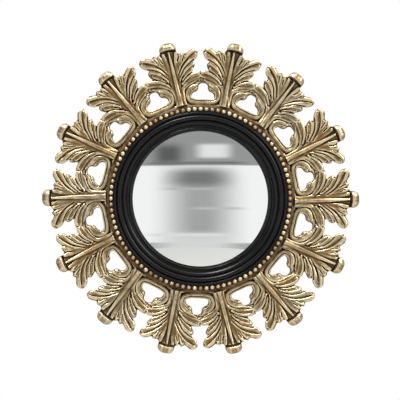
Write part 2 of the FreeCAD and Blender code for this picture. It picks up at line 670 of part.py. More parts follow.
def main():
    """Make and write every piece."""
    os.makedirs("parts", exist_ok=True)
    leaf_angles = [PITCH * (number + 0.5) for number in range(LEAF_COUNT)]
    scroll_angles = [PITCH * number for number in range(LEAF_COUNT)]
    leaf, scroll = make_leaf(), make_scroll()
    for number, angle in enumerate(leaf_angles, 1):
        save(f"acanthus_leaf_{number:02d}", clockwise(leaf, angle))
    for number, angle in enumerate(scroll_angles, 1):
        save(f"scroll_link_{number:02d}", clockwise(scroll, angle))
    carving_screw = (CARVING_SCREW_CIRCLE, RING_BACK, CARVING_SCREW_RADIUS, CARVING_SCREW_LENGTH)
    save("leaf_screws", screws_round(leaf_angles, *carving_screw))
    save("link_screws", screws_round(scroll_angles, *carving_screw))
    save("ring_frame", make_ring())
    save("bead_ring", make_bead_ring())
    save("ebonised_slip", make_slip())
    save("mirror_glass", make_glass())
    save("glass_gasket", make_gasket())
    save("glass_retainer", make_retainer())
    save("backing_board", make_board())
    button = make_button()
    for number, angle in enumerate(button_angles(), 1):
        save(f"turn_button_{number}", clockwise(button, angle))
    save("button_screws", screws_round(button_angles(), BUTTON_PIVOT_CIRCLE, BUTTON_BACK,
                                       BUTTON_SCREW_RADIUS, BUTTON_SCREW_LENGTH))
    save("hanger_plate", make_hanger())
    hanger_screws = [screw(side * HANGER_SCREW_SPACING / 2, HANGER_CIRCLE, HANGER_BACK, HANGER_SCREW_RADIUS,
                           HANGER_SCREW_LENGTH) for side in (-1, 1)]
    save("hanger_screws", Part.makeCompound(hanger_screws))
    save("wall_pad_right", make_pad(180 - PAD_ANGLE))
    save("wall_pad_left", make_pad(180 + PAD_ANGLE))


if __name__ == "__main__":
    main()
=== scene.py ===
"""Dressing of a convex butler's mirror: carved gilt leaves, bead moulding, black slip and domed glass.

Sizes in the classes below are millimetres, and become metres where a mesh is put in its place. A carving
is worked standing straight up: u is sideways, v is outward from the mirror's centre and d is forward from
the wall. It is then turned to its place on the ring.
"""

import logging
import math
import random
from dataclasses import dataclass, replace
from enum import Enum
from typing import ClassVar, Sequence

import bmesh
import bpy
import numpy as np
from mathutils import Matrix, Vector
from mathutils.bvhtree import BVHTree
from mathutils.kdtree import KDTree


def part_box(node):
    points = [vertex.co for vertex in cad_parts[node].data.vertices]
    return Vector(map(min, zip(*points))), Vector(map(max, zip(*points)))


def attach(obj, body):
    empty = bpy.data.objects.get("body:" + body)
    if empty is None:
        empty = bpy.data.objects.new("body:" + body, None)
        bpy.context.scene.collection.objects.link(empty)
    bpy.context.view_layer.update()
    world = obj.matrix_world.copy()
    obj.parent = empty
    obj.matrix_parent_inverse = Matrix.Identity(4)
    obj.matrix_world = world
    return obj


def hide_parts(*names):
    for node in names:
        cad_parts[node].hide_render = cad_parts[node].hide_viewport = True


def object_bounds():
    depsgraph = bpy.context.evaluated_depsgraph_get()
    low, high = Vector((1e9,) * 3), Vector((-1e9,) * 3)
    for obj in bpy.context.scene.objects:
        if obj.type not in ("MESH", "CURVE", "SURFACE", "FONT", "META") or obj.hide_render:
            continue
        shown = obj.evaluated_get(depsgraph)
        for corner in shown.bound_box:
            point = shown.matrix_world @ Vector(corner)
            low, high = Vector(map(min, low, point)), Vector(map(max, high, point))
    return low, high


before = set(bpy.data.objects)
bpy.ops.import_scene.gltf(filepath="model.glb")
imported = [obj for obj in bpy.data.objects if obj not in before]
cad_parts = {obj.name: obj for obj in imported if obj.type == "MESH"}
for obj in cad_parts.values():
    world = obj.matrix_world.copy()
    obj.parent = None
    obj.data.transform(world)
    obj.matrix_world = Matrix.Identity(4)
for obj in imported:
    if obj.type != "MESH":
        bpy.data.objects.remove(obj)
cad_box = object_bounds()

log = logging.getLogger("mirror")

MM = 0.001
LEAVES = 14
PITCH = 360.0 / LEAVES
GLASS_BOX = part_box("mirror_glass")
CENTRE_Z = (GLASS_BOX[0].z + GLASS_BOX[1].z) / 2

# In millimetres: vertices closer than WELD are made one, and a length below HAIR counts as nothing.
WELD = 0.002
HAIR = 1e-6

Pair = tuple[float, float]
Colour = tuple[float, float, float]
Mesh = bpy.types.Mesh
Material = bpy.types.Material
Socket = bpy.types.NodeSocket


# ---------------------------------------------------------------- places and small tools
def standing(angle: float) -> Matrix:
    """Matrix from a piece's own axes in millimetres to its place on the ring.

    Args:
        angle: Degrees clockwise from the top, seen from the front.

    Returns:
        The 4x4 matrix, which turns (u, v, d) into metres in the part's frame.
    """
    cos, sin = math.cos(math.radians(angle)) * MM, math.sin(math.radians(angle)) * MM
    return Matrix(((cos, sin, 0, 0), (0, 0, -MM, 0), (-sin, cos, 0, CENTRE_Z), (0, 0, 0, 1)))


def smooth_path(points: Sequence[Sequence[float]], count: int) -> np.ndarray:
    """Points on a smooth curve through the given ones.

    Args:
        points: Two or more points, each with two or three numbers.
        count: How many points to give back.

    Returns:
        An array with one row for each point.
    """
    given = np.array(points, float)
    padded = np.vstack([2 * given[0] - given[1], given, 2 * given[-1] - given[-2]])
    place = np.linspace(0, len(given) - 1, count)
    start = np.minimum(place.astype(int), len(given) - 2)
    t = (place - start)[:, None]
    a, b, c, d = (padded[start + step] for step in range(4))
    return 0.5 * (2 * b + (c - a) * t + (2 * a - 5 * b + 4 * c - d) * t**2 + (3 * b - a - 3 * c + d) * t**3)


def new_object(name: str, mesh: Mesh) -> bpy.types.Object:
    """Put a mesh in the scene as an object of that name."""
    made = bpy.data.objects.new(name, mesh)
    bpy.context.scene.collection.objects.link(made)
    return made


def settled(made: bpy.types.Object, name: str) -> Mesh:
    """The plain mesh that an object and its modifiers come to.

    Args:
        made: The object, which is deleted.
        name: Name of the mesh.

    Returns:
        A mesh that depends on nothing else.
    """
    bpy.context.view_layer.update()
    graph = bpy.context.evaluated_depsgraph_get()
    mesh = bpy.data.meshes.new_from_object(made.evaluated_get(graph), depsgraph=graph)
    mesh.name = name
    old = made.data
    bpy.data.objects.remove(made)
    if old.users == 0 and isinstance(old, Mesh):
        bpy.data.meshes.remove(old)
    return mesh


def points_of(mesh: Mesh) -> np.ndarray:
    """The places of a mesh's vertices, one row each."""
    flat = np.empty(len(mesh.vertices) * 3, np.float32)
    mesh.vertices.foreach_get("co", flat)
    return flat.reshape(-1, 3).astype(float)


def normals_of(mesh: Mesh) -> np.ndarray:
    """The directions that a mesh's vertices face, one row each."""
    flat = np.empty(len(mesh.vertices) * 3, np.float32)
    mesh.vertex_normals.foreach_get("vector", flat)
    return flat.reshape(-1, 3).astype(float)


def move_points(mesh: Mesh, places: np.ndarray) -> None:
    """Give a mesh's vertices new places."""
    mesh.vertices.foreach_set("co", places.astype(np.float32).ravel())
    mesh.update()


def write_attribute(mesh: Mesh, name: str, values: np.ndarray) -> None:
    """Keep one number for each vertex under a name that materials read."""
    made = mesh.attributes.new(name, "FLOAT", "POINT")
    made.data.foreach_set("value", values.astype(np.float32))


def cad_copy(node: str, place: Matrix) -> Mesh:
    """A welded copy of a CAD node's mesh in a piece's own axes.

    Args:
        node: Name of the node.
        place: Matrix from those axes to the part's frame.

    Returns:
        The copy, in millimetres.
    """
    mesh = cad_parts[node].data.copy()
    mesh.materials.clear()
    mesh.transform(place.inverted())
    shape = bmesh.new()
    shape.from_mesh(mesh)
    bmesh.ops.remove_doubles(shape, verts=shape.verts, dist=WELD)
    shape.to_mesh(mesh)
    shape.free()
    return mesh


def island_centres(node: str) -> list[Vector]:
    """The middle of each separate solid in a CAD node.

    Args:
        node: Name of the node.

    Returns:
        Middles of their boxes, in metres, in the part's frame.
    """
    mesh = cad_copy(node, Matrix.Identity(4))
    shape = bmesh.new()
    shape.from_mesh(mesh)
    todo = set(shape.verts)
    centres = []
    while todo:
        stack = [todo.pop()]
        island = []
        while stack:
            vertex = stack.pop()
            island.append(vertex.co.copy())
            for edge in vertex.link_edges:
                other = edge.other_vert(vertex)
                if other in todo:
                    todo.remove(other)
                    stack.append(other)
        places = np.array(island)
        centres.append(Vector((places.min(0) + places.max(0)) / 2))
    shape.free()
    bpy.data.meshes.remove(mesh)
    return sorted(centres, key=lambda c: math.atan2(c.x, c.z - CENTRE_Z) % math.tau)


def smooth_faces(mesh: Mesh, sharp_degrees: float | None = None) -> None:
    """Shade a mesh smooth, with creases kept sharp where it turns by more than an angle."""
    mesh.shade_smooth()
    if sharp_degrees is not None:
        mesh.set_sharp_from_angle(angle=math.radians(sharp_degrees))


def hand_over(mesh: Mesh, name: str, finish: Material, node: str) -> None:
    """Finish a piece that sits on the frame: its bounds, material, slot and the CAD node that it stands for.

    Args:
        mesh: The piece's mesh, in the part's frame.
        name: Name of the piece.
        finish: Its material.
        node: CAD node that it replaces.
    """
    move_points(mesh, np.clip(points_of(mesh), *cad_box))
    mesh.materials.clear()
    mesh.materials.append(finish)
    mesh.name = name
    made = new_object(name, mesh)
    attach(made, "frame")
    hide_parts(node)
    log.info("%s: %d faces", name, len(mesh.polygons))


# ---------------------------------------------------------------- shader sketching
@dataclass(frozen=True)
class Grain:
    """Settings of a noise: how many to a metre, how many finer ones on it, and how strong those are."""

    scale: float
    detail: float = 3.0
    roughness: float = 0.55


class Sketch:
    """A node tree with short calls for its nodes and links."""

    def __init__(self, tree: bpy.types.NodeTree) -> None:
        """Take a tree to draw in."""
        self.tree = tree

    def node(self, kind: str, inputs: dict | None = None, **settings: object) -> bpy.types.Node:
        """Add a node.

        Args:
            kind: Blender's name of the node type.
            inputs: Values or output sockets, by the input's name or number.
            settings: The node's own properties.

        Returns:
            The node.
        """
        made = self.tree.nodes.new(kind)
        for name, value in settings.items():
            setattr(made, name, value)
        for name, value in (inputs or {}).items():
            self.feed(made.inputs[name], value)
        return made

    def feed(self, socket: Socket, value: object) -> None:
        """Link an output socket to an input, or set the input's value."""
        if isinstance(value, Socket):
            self.tree.links.new(value, socket)
        else:
            socket.default_value = value

    def math(self, operation: str, *values: object) -> Socket:
        """The result of a Math node on numbers or sockets."""
        made = self.node("ShaderNodeMath", operation=operation)
        for socket, value in zip(made.inputs, values):
            self.feed(socket, value)
        return made.outputs[0]

    def soft_step(self, value: object, low: float, high: float) -> Socket:
        """A smooth rise from 0 at low to 1 at high."""
        made = self.node("ShaderNodeMapRange", {0: value, 1: low, 2: high}, interpolation_type="SMOOTHSTEP")
        return made.outputs[0]

    def blend(self, share: object, first: object, second: object) -> Socket:
        """A mix of two colours, or sockets of colours, by a share."""
        first, second = ((*colour, 1) if isinstance(colour, tuple) else colour for colour in (first, second))
        return self.node("ShaderNodeMix", {0: share, 6: first, 7: second}, data_type="RGBA").outputs[2]

    def shifted(self, value: object, spread: float, base: object) -> Socket:
        """A base with a noise's swing round its middle added, scaled by a spread."""
        return self.math("MULTIPLY_ADD", self.math("SUBTRACT", value, 0.5), spread, base)

    def noise(self, where: object, grain: "Grain") -> Socket:
        """A noise value between 0 and 1 at a place."""
        return self.node("ShaderNodeTexNoise", {"Vector": where, "Scale": grain.scale, "Detail": grain.detail,
                                                "Roughness": grain.roughness}).outputs[0]


class Paint(Sketch):
    """A new material, drawn around one Principled shader."""

    def __init__(self, name: str) -> None:
        """Start the material with its shader and the object's own coordinates."""
        self.material = bpy.data.materials.new(name)
        self.material.use_nodes = True
        super().__init__(self.material.node_tree)
        self.shader = self.tree.nodes["Principled BSDF"]
        self.place = self.node("ShaderNodeTexCoord").outputs["Object"]

    def set(self, **values: object) -> None:
        """Set the shader's sockets, with underscores for spaces in their names."""
        for name, value in values.items():
            self.feed(self.shader.inputs[name.replace("_", " ")], value)

    def bump(self, height: object, distance: float, strength: float = 1.0) -> None:
        """Roughen the surface by a height."""
        made = self.node("ShaderNodeBump", {"Strength": strength, "Distance": distance, "Height": height})
        self.feed(self.shader.inputs["Normal"], made.outputs[0])

    def stretched(self, scale: tuple[float, float, float]) -> Socket:
        """The object's coordinates, stretched along its axes."""
        return self.node("ShaderNodeMapping", {"Vector": self.place, "Scale": scale}).outputs[0]


# ---------------------------------------------------------------- finishes
@dataclass(frozen=True)
class Gilding:
    """Toned gilding: lighter on crests, partly rubbed wear and partly painted highlight, and brown in hollows,
    partly real glaze and partly painted shade.
    """

    name: str
    # The glaze and shade colours darken hollows as painted shade over a real brown toning glaze; the rubbed colour
    # lightens crests as painted highlight over real wear.
    glaze_and_shade: Colour = (0.030, 0.014, 0.005)
    shade: Colour = (0.098, 0.051, 0.018)
    gold: Colour = (0.30, 0.183, 0.069)
    rubbed_and_highlight: Colour = (0.88, 0.745, 0.48)
    silver: Colour = (0.31, 0.247, 0.155)
    bole_dark: Colour = (0.085, 0.052, 0.028)
    bole_light: Colour = (0.16, 0.10, 0.055)
    rubbed_and_highlight_until: Pair = (0.46, 0.22)
    shade_from: Pair = (0.47, 0.70)
    glaze_and_shade_from: Pair = (0.70, 0.94)
    dull_from: Pair = (0.42, 0.95)
    silver_from: Pair = (0.44, 0.66)
    turned_from: Pair = (-0.60, -0.10)
    bole_from: Pair = (0.80, 0.95)
    cloud: Grain = Grain(55.0, 4.0, 0.6)
    patches: Grain = Grain(9.0, 2.0)
    specks: Grain = Grain(900.0, 3.0, 0.6)
    pits: Grain = Grain(420.0, 4.0, 0.7)
    bole_mottle: Grain = Grain(160.0)
    cloud_share: float = 0.34
    speck_share: float = 0.16
    cloud_roughness: float = 0.22
    rubbed_roughness: float = 0.31
    glaze_roughness: float = 0.58
    bole_roughness: float = 0.72
    metal_share: float = 0.97
    metal_loss: float = 0.62
    painted_side_shade: float = 0.24
    pit_depth: float = 0.00022
    wall_side: bool = True

    def material(self) -> Material:
        """Build the material. Vertices carry 'hollow', from 0 on crests to 1 in crevices, which paints shade in
        hollows and highlight on crests.
        """
        paint = Paint(self.name)
        hollow = paint.node("ShaderNodeAttribute", attribute_name="hollow").outputs["Fac"]
        cloud, patches, specks, pits = (
            paint.noise(paint.place, grain) for grain in (self.cloud, self.patches, self.specks, self.pits))
        mottle_and_shade = paint.shifted(specks, self.speck_share, paint.shifted(cloud, self.cloud_share, hollow))
        normal = paint.node("ShaderNodeNewGeometry").outputs["Normal"]
        to_wall = paint.node("ShaderNodeSeparateXYZ", {0: normal}).outputs[1]
        turned = paint.soft_step(to_wall, *self.turned_from)
        # Painted shade: faces turned sideways and towards the wall are darkened.
        mottle_and_shade = paint.math("MULTIPLY_ADD", turned, self.painted_side_shade, mottle_and_shade)
        colour = paint.blend(paint.soft_step(patches, *self.silver_from), self.gold, self.silver)
        # Painted shade and highlight: hollows take the shade and glaze colours, crests the rubbed colour, partly
        # real toning and wear.
        for edges, tone in ((self.shade_from, self.shade), (self.glaze_and_shade_from, self.glaze_and_shade),
                            (self.rubbed_and_highlight_until, self.rubbed_and_highlight)):
            colour = paint.blend(paint.soft_step(mottle_and_shade, *edges), colour, tone)
        dull = paint.soft_step(mottle_and_shade, *self.dull_from)
        roughness = paint.math("MULTIPLY_ADD", dull, self.glaze_roughness - self.rubbed_roughness,
                               self.rubbed_roughness)
        roughness = paint.shifted(cloud, self.cloud_roughness, roughness)
        metal = paint.math("MULTIPLY_ADD", dull, -self.metal_loss * self.metal_share, self.metal_share)
        if self.wall_side:
            bare = paint.soft_step(paint.math("MULTIPLY_ADD", cloud, 0.3, to_wall), *self.bole_from)
            bole = paint.blend(paint.noise(paint.place, self.bole_mottle), self.bole_dark, self.bole_light)
            colour = paint.blend(bare, colour, bole)
            roughness = paint.math("MAXIMUM", roughness, paint.math("MULTIPLY", bare, self.bole_roughness))
            metal = paint.math("MULTIPLY", metal, paint.math("SUBTRACT", 1.0, bare))
        paint.set(Base_Color=colour, Metallic=metal, Roughness=roughness)
        paint.bump(paint.math("MULTIPLY_ADD", pits, 0.6, specks), self.pit_depth, 0.55)
        return paint.material


@dataclass(frozen=True)
class Ebonised:
    """Black French polish over fine-grained wood."""

    name: str = "ebonised"
    colour: Colour = (0.0055, 0.0052, 0.0055)
    faded: Colour = (0.0095, 0.0088, 0.0085)
    dust: Grain = Grain(240.0, 4.0, 0.65)
    cloud: Grain = Grain(26.0, 2.0)
    roughness: float = 0.22
    specular: float = 0.30
    dust_height: float = 0.00003

    def material(self) -> Material:
        """Build the material, faded in clouds and with dust in the polish."""
        paint = Paint(self.name)
        dust = paint.noise(paint.place, self.dust)
        faded = paint.soft_step(paint.noise(paint.place, self.cloud), 0.3, 0.8)
        roughness = paint.math("MULTIPLY_ADD", dust, 0.12, self.roughness - 0.06)
        paint.set(Base_Color=paint.blend(faded, self.colour, self.faded), Roughness=roughness,
                  Specular_IOR_Level=self.specular)
        paint.bump(dust, self.dust_height, 0.4)
        return paint.material


@dataclass(frozen=True)
class LookingGlass:
    """Silvered domed glass with a very slight haze."""

    name: str = "silvered_glass"
    colour: tuple = (0.905, 0.915, 0.915, 1.0)
    haze: Grain = Grain(14.0, 2.0)
    roughness: float = 0.035

    def material(self) -> Material:
        """Build the material, a little hazy in patches."""
        paint = Paint(self.name)
        haze = paint.noise(paint.place, self.haze)
        paint.set(Base_Color=self.colour, Metallic=1.0,
                  Roughness=paint.math("MULTIPLY_ADD", haze, 0.02, self.roughness - 0.01))
        return paint.material


@dataclass(frozen=True)
class Timber:
    """Plain wood or board, with its grain along one axis."""

    name: str
    light: Colour
    dark: Colour
    stretch: tuple[float, float, float]
    scale: float = 60.0
    roughness: float = 0.62
    fine_share: float = 7.0
    grain_height: float = 0.0001

    def material(self) -> Material:
        """Build the material."""
        paint = Paint(self.name)
        along = paint.stretched(self.stretch)
        grain = paint.noise(along, Grain(self.scale, 5.0, 0.65))
        fine = paint.noise(along, Grain(self.scale * self.fine_share))
        share = paint.soft_step(paint.math("MULTIPLY_ADD", fine, 0.25, grain), 0.42, 0.82)
        paint.set(Base_Color=paint.blend(share, self.light, self.dark),
                  Roughness=paint.math("MULTIPLY_ADD", grain, 0.16, self.roughness - 0.08))
        paint.bump(fine, self.grain_height, 0.5)
        return paint.material


@dataclass(frozen=True)
class PlainMetal:
    """Brass or plated steel, with fine scratches and a little tarnish."""

    name: str
    bright: Colour
    dull: Colour
    roughness: float = 0.3
    scratches: Grain = Grain(320.0, 4.0, 0.7)
    tarnish: Grain = Grain(120.0, 4.0, 0.6)
    scratch_depth: float = 0.00004

    def material(self) -> Material:
        """Build the material."""
        paint = Paint(self.name)
        scratches = paint.noise(paint.stretched((1.0, 1.0, 14.0)), self.scratches)
        tarnish = paint.noise(paint.place, self.tarnish)
        paint.set(Base_Color=paint.blend(paint.soft_step(tarnish, 0.48, 0.75), self.bright, self.dull),
                  Metallic=1.0, Roughness=paint.math("MULTIPLY_ADD", tarnish, 0.25, self.roughness - 0.1))
        paint.bump(scratches, self.scratch_depth, 0.5)
        return paint.material


@dataclass(frozen=True)
class SoftStuff:
    """Felt or rubber: matt, with a fine pile or pebble."""

    name: str
    colour: Colour
    nap: Colour
    scale: float
    roughness: float = 0.9
    pile_height: float = 0.0002

    def material(self) -> Material:
        """Build the material."""
        paint = Paint(self.name)
        pile = paint.noise(paint.place, Grain(self.scale, 4.0, 0.7))
        paint.set(Base_Color=paint.blend(paint.soft_step(pile, 0.35, 0.7), self.colour, self.nap),
                  Roughness=self.roughness)
        paint.bump(pile, self.pile_height, 0.6)
        return paint.material


# ---------------------------------------------------------------- geometry trees
class Tree(Sketch):
    """A Geometry Nodes tree with named inputs."""

    def __init__(self, name: str) -> None:
        """Start the tree with geometry in and geometry out."""
        super().__init__(bpy.data.node_groups.new(name, "GeometryNodeTree"))
        self.sockets: dict[str, str] = {}
        for way in ("OUTPUT", "INPUT"):
            self.tree.interface.new_socket(name="Geometry", in_out=way, socket_type="NodeSocketGeometry")
        self.given = self.tree.nodes.new("NodeGroupInput")
        self.result = self.tree.nodes.new("NodeGroupOutput")

    def input(self, name: str, kind: str) -> Socket:
        """Add a named input of a kind such as Float or Int, and give its socket inside the tree."""
        made = self.tree.interface.new_socket(name=name, in_out="INPUT", socket_type=f"NodeSocket{kind}")
        self.sockets[name] = made.identifier
        return self.given.outputs[name]

    def with_base(self, added: Socket) -> Socket:
        """Join what is added to the mesh that the tree starts from."""
        joined = self.node("GeometryNodeJoinGeometry")
        for part in (added, self.given.outputs["Geometry"]):
            self.tree.links.new(part, joined.inputs[0])
        return joined.outputs[0]

    def close(self, geometry: Socket, finish: Socket) -> None:
        """End the tree: real meshes, with their material."""
        real = self.node("GeometryNodeRealizeInstances", {0: geometry})
        painted = self.node("GeometryNodeSetMaterial", {"Geometry": real.outputs[0], "Material": finish})
        self.tree.links.new(painted.outputs[0], self.result.inputs[0])

    def run(self, base: Mesh, name: str, **values: object) -> Mesh:
        """Run the tree on a mesh.

        Args:
            base: The mesh that it starts from.
            name: Name of the result.
            values: The tree's inputs, with underscores for spaces in their names.

        Returns:
            A plain mesh.
        """
        carrier = new_object(name, base)
        modifier = carrier.modifiers.new(name, "NODES")
        modifier.node_group = self.tree
        for key, value in values.items():
            modifier[self.sockets[key.replace("_", " ")]] = value
        return settled(carrier, name)


class RidgeTree(Tree):
    """Sweeps a flat oval along each ridge line and joins the sweeps to the blank."""

    def __init__(self) -> None:
        """Draw the tree."""
        super().__init__("ridges_on_blank")
        lines = self.node("GeometryNodeObjectInfo", {"Object": self.input("Lines", "Object")})
        sides = self.input("Sides", "Int")
        flatness = self.input("Flatness", "Float")
        finish = self.input("Finish", "Material")
        circle = self.node("GeometryNodeCurvePrimitiveCircle", {"Resolution": sides, "Radius": 1.0})
        oval = self.node("ShaderNodeCombineXYZ", {0: 1.0, 1: flatness, 2: 1.0})
        section = self.node("GeometryNodeTransform", {"Geometry": circle.outputs[0], "Scale": oval.outputs[0]})
        level = self.node("GeometryNodeSetCurveNormal", {"Curve": lines.outputs["Geometry"]}, mode="Z_UP")
        width = self.node("GeometryNodeInputRadius")
        sweep = self.node("GeometryNodeCurveToMesh", {
            "Curve": level.outputs[0], "Profile Curve": section.outputs[0], "Scale": width.outputs[0],
            "Fill Caps": True})
        self.close(self.with_base(sweep.outputs[0]), finish)


class BeadTree(Tree):
    """Sets a row of beads round a circle, each sized a little by hand."""

    def __init__(self) -> None:
        """Draw the tree."""
        super().__init__("bead_row")
        count = self.input("Count", "Int")
        circle = self.input("Circle", "Float")
        radius = self.input("Radius", "Float")
        lift = self.input("Lift", "Float")
        seed = self.input("Seed", "Int")
        finish = self.input("Finish", "Material")
        row = self.node("GeometryNodeMeshCircle", {"Vertices": count, "Radius": circle})
        bead = self.node("GeometryNodeMeshUVSphere", {"Segments": 24, "Rings": 14, "Radius": radius})
        round_bead = self.node("GeometryNodeSetShadeSmooth", {"Geometry": bead.outputs["Mesh"]})
        size = self.node("FunctionNodeRandomValue", {"Min": (0.955, 0.955, 0.94), "Max": (1.0, 1.0, 1.0),
                                                     "Seed": seed}, data_type="FLOAT_VECTOR")
        set_out = self.node("GeometryNodeInstanceOnPoints", {
            "Points": row.outputs[0], "Instance": round_bead.outputs[0], "Scale": size.outputs[0]})
        offset = self.node("ShaderNodeCombineXYZ", {2: lift})
        raised = self.node("GeometryNodeTranslateInstances", {
            "Instances": set_out.outputs[0], "Translation": offset.outputs[0]})
        self.close(self.with_base(raised.outputs[0]), finish)


class ScrewTree(Tree):
    """Sets one screw at each point, each stopped at its own angle."""

    def __init__(self) -> None:
        """Draw the tree."""
        super().__init__("screw_set")
        screw = self.node("GeometryNodeObjectInfo", {"Object": self.input("Screw", "Object")})
        seed = self.input("Seed", "Int")
        finish = self.input("Finish", "Material")
        angle = self.node("FunctionNodeRandomValue", {"Seed": seed}, data_type="FLOAT")
        angle.inputs[2].default_value = 0.0
        angle.inputs[3].default_value = math.tau
        turn = self.node("ShaderNodeCombineXYZ", {2: angle.outputs[1]})
        set_out = self.node("GeometryNodeInstanceOnPoints", {"Points": self.given.outputs["Geometry"],
                                                             "Instance": screw.outputs["Geometry"],
                                                             "Rotation": turn.outputs[0]})
        self.close(set_out.outputs[0], finish)


# ---------------------------------------------------------------- carving
class Taper(Enum):
    """How a ridge's width runs from its root to its tip: (share of length, share of width) pairs."""

    LEAFLET = ((0.0, 0.35), (0.55, 1.0), (0.85, 0.92), (1.0, 0.45))
    VEIN = ((0.0, 1.0), (0.5, 0.85), (1.0, 0.4))
    SPRIG = ((0.0, 0.4), (0.5, 1.0), (1.0, 0.35))
    BAND = ((0.0, 0.8), (0.3, 1.0), (0.8, 1.0), (1.0, 0.6))


@dataclass(frozen=True)
class Ridge:
    """A raised fold, vein or rim, from its root to its tip."""

    path: tuple[Pair, ...]
    half_width: float
    lift: float = 0.0
    tip_lift: float = 0.0
    taper: Taper = Taper.LEAFLET


@dataclass(frozen=True)
class Cut:
    """A gouge stroke: its line, half width and depth."""

    path: tuple[Pair, ...]
    half_width: float
    depth: float


def both_sides(*rows: tuple) -> list[Ridge]:
    """Ridges of the right side, then of the left, from rows of (right path, left path, *sizes)."""
    return [Ridge(row[side], *row[2:]) for side in (0, 1) for row in rows]


@dataclass
class Carver:
    """Works a blank with raised ridges, gouge cuts and a softened surface."""

    ridge_tree: RidgeTree
    finish: Material
    spine_points: int = 22
    sides: int = 20
    flatness: float = 0.62
    voxel: float = 0.96
    quick_voxel: float = 1.3
    sink_share: float = 0.25
    blank_voxel: float = 1.0
    side_share: float = 0.35
    edge_width: float = 6.0
    edge_drop: float = 3.6
    foot_fade: float = 5.0
    head_fade: float = 3.0
    width_slip: float = 0.06
    side_slip: float = 0.7
    depth_slip: float = 0.25
    cut_front: float = 0.25
    cut_fade: float = 0.3
    cut_points: int = 12
    fine_rounds: int = 3
    broad_rounds: int = 23
    fine_share: float = 0.8
    broad_share: float = 0.55
    level_hollow: float = 0.50
    hollow_share: float = 0.46

    def skinned(self, mesh: Mesh, name: str, voxel: float) -> bpy.types.Object:
        """An object whose mesh is grown over with one even skin."""
        block = new_object(name, mesh)
        remesh = block.modifiers.new("skin", "REMESH")
        remesh.mode = "VOXEL"
        remesh.voxel_size = voxel
        return block

    def pared(self, mesh: Mesh, front: "Profile", recess: float, low: float, high: float) -> Mesh:
        """Pare back a blank's front, most of all along its edges.

        Args:
            mesh: The blank, which is used up.
            front: Depth of the blank's front along v.
            recess: How far the whole front goes back.
            low: Where along v the paring starts.
            high: Where it ends.

        Returns:
            The pared blank as a new mesh.
        """
        mesh = settled(self.skinned(mesh, "blank", self.blank_voxel), "blank")
        places, facing = points_of(mesh), normals_of(mesh)
        sides = places[np.abs(facing[:, 2]) < self.side_share]
        search = KDTree(len(sides))
        for number, place in enumerate(sides):
            search.insert((place[0], place[1], 0), number)
        search.balance()
        on_blade = np.clip((high - places[:, 1]) / self.head_fade, 0, 1)
        on_blade *= np.clip((places[:, 1] - low) / self.foot_fade, 0, 1)
        for number in np.flatnonzero((facing[:, 2] > self.side_share) & (on_blade > 0)):
            inward = search.find((places[number, 0], places[number, 1], 0))[2]
            rounding = self.edge_drop * (1 - min(1.0, inward / self.edge_width)) ** 2
            places[number, 2] -= (recess + rounding) * on_blade[number]
        brow = front(places[:, 1]) - recess - self.edge_drop
        wall = (facing[:, 2] <= self.side_share) & (on_blade == 1)
        places[wall, 2] = np.minimum(places[wall, 2], brow[wall])
        move_points(mesh, places)
        return mesh

    def ridge_lines(self, ridges: Sequence[Ridge], depth_at: "Profile", hand: random.Random) -> bpy.types.Object:
        """Curves for the ridges, each a little off by hand.

        Args:
            ridges: The ridges.
            depth_at: Depth of the blank's front along v.
            hand: Source of the small slips of the hand.

        Returns:
            A curve object with one spline for each ridge, its radius the ridge's half width.
        """
        curve = bpy.data.curves.new("ridge_lines", "CURVE")
        curve.dimensions = "3D"
        for ridge in ridges:
            line = smooth_path(ridge.path, self.spine_points)
            share = np.linspace(0, 1, self.spine_points)
            width = ridge.half_width * np.interp(share, *zip(*ridge.taper.value))
            width *= hand.uniform(1 - self.width_slip, 1 + self.width_slip)
            slip = self.side_slip
            line = line + np.outer(share, (hand.uniform(-slip, slip), hand.uniform(-slip, slip)))
            depth = depth_at(line[:, 1]) + ridge.lift + ridge.tip_lift * share**2 - self.sink_share * width
            depth = depth + hand.uniform(-self.depth_slip, self.depth_slip)
            spline = curve.splines.new("POLY")
            spline.points.add(self.spine_points - 1)
            for point, (u, v), d, radius in zip(spline.points, line, depth, width):
                point.co = (u, v, d, 1.0)
                point.radius = radius
        made = bpy.data.objects.new("ridge_lines", curve)
        bpy.context.scene.collection.objects.link(made)
        return made

    def solid(self, blank: Mesh, lines: bpy.types.Object, name: str) -> Mesh:
        """Join the blank and its ridges into one softened skin.

        Args:
            blank: Mesh of the blank, which is left as it is.
            lines: Curves of the ridges, which are deleted.
            name: Name of the result.

        Returns:
            The carved mesh before its cuts.
        """
        joined = self.ridge_tree.run(blank.copy(), name, Lines=lines, Sides=self.sides,
                                     Flatness=self.flatness, Finish=self.finish)
        bpy.data.curves.remove(lines.data)
        block = self.skinned(joined, name, self.voxel)
        soften = block.modifiers.new("soften", "SMOOTH")
        soften.factor = 0.5
        soften.iterations = 2
        return settled(block, name)

    def cut_shares(self, places: np.ndarray, cut: Cut) -> np.ndarray:
        """How far each vertex lies inside a cut: 1 on its line, 0 outside it."""
        line = smooth_path(cut.path, self.cut_points)
        nearest = np.full(len(places), np.inf)
        for start, end in zip(line, line[1:]):
            along = end - start
            offset = places[:, :2] - start
            t = np.clip(offset @ along / (along @ along), 0, 1)
            nearest = np.minimum(nearest, np.linalg.norm(offset - t[:, None] * along, axis=1))
        return np.clip(1 - (nearest / cut.half_width) ** 2, 0, 1) ** 1.5

    def gouge(self, mesh: Mesh, cuts: Sequence[Cut]) -> None:
        """Sink each cut into the faces that look forward."""
        places, facing = points_of(mesh), normals_of(mesh)
        reach = np.clip((facing[:, 2] - self.cut_front) / self.cut_fade, 0, 1)
        sunk = np.zeros(len(places))
        for cut in cuts:
            sunk = np.maximum(sunk, cut.depth * self.cut_shares(places, cut))
        places[:, 2] -= sunk * reach
        move_points(mesh, places)

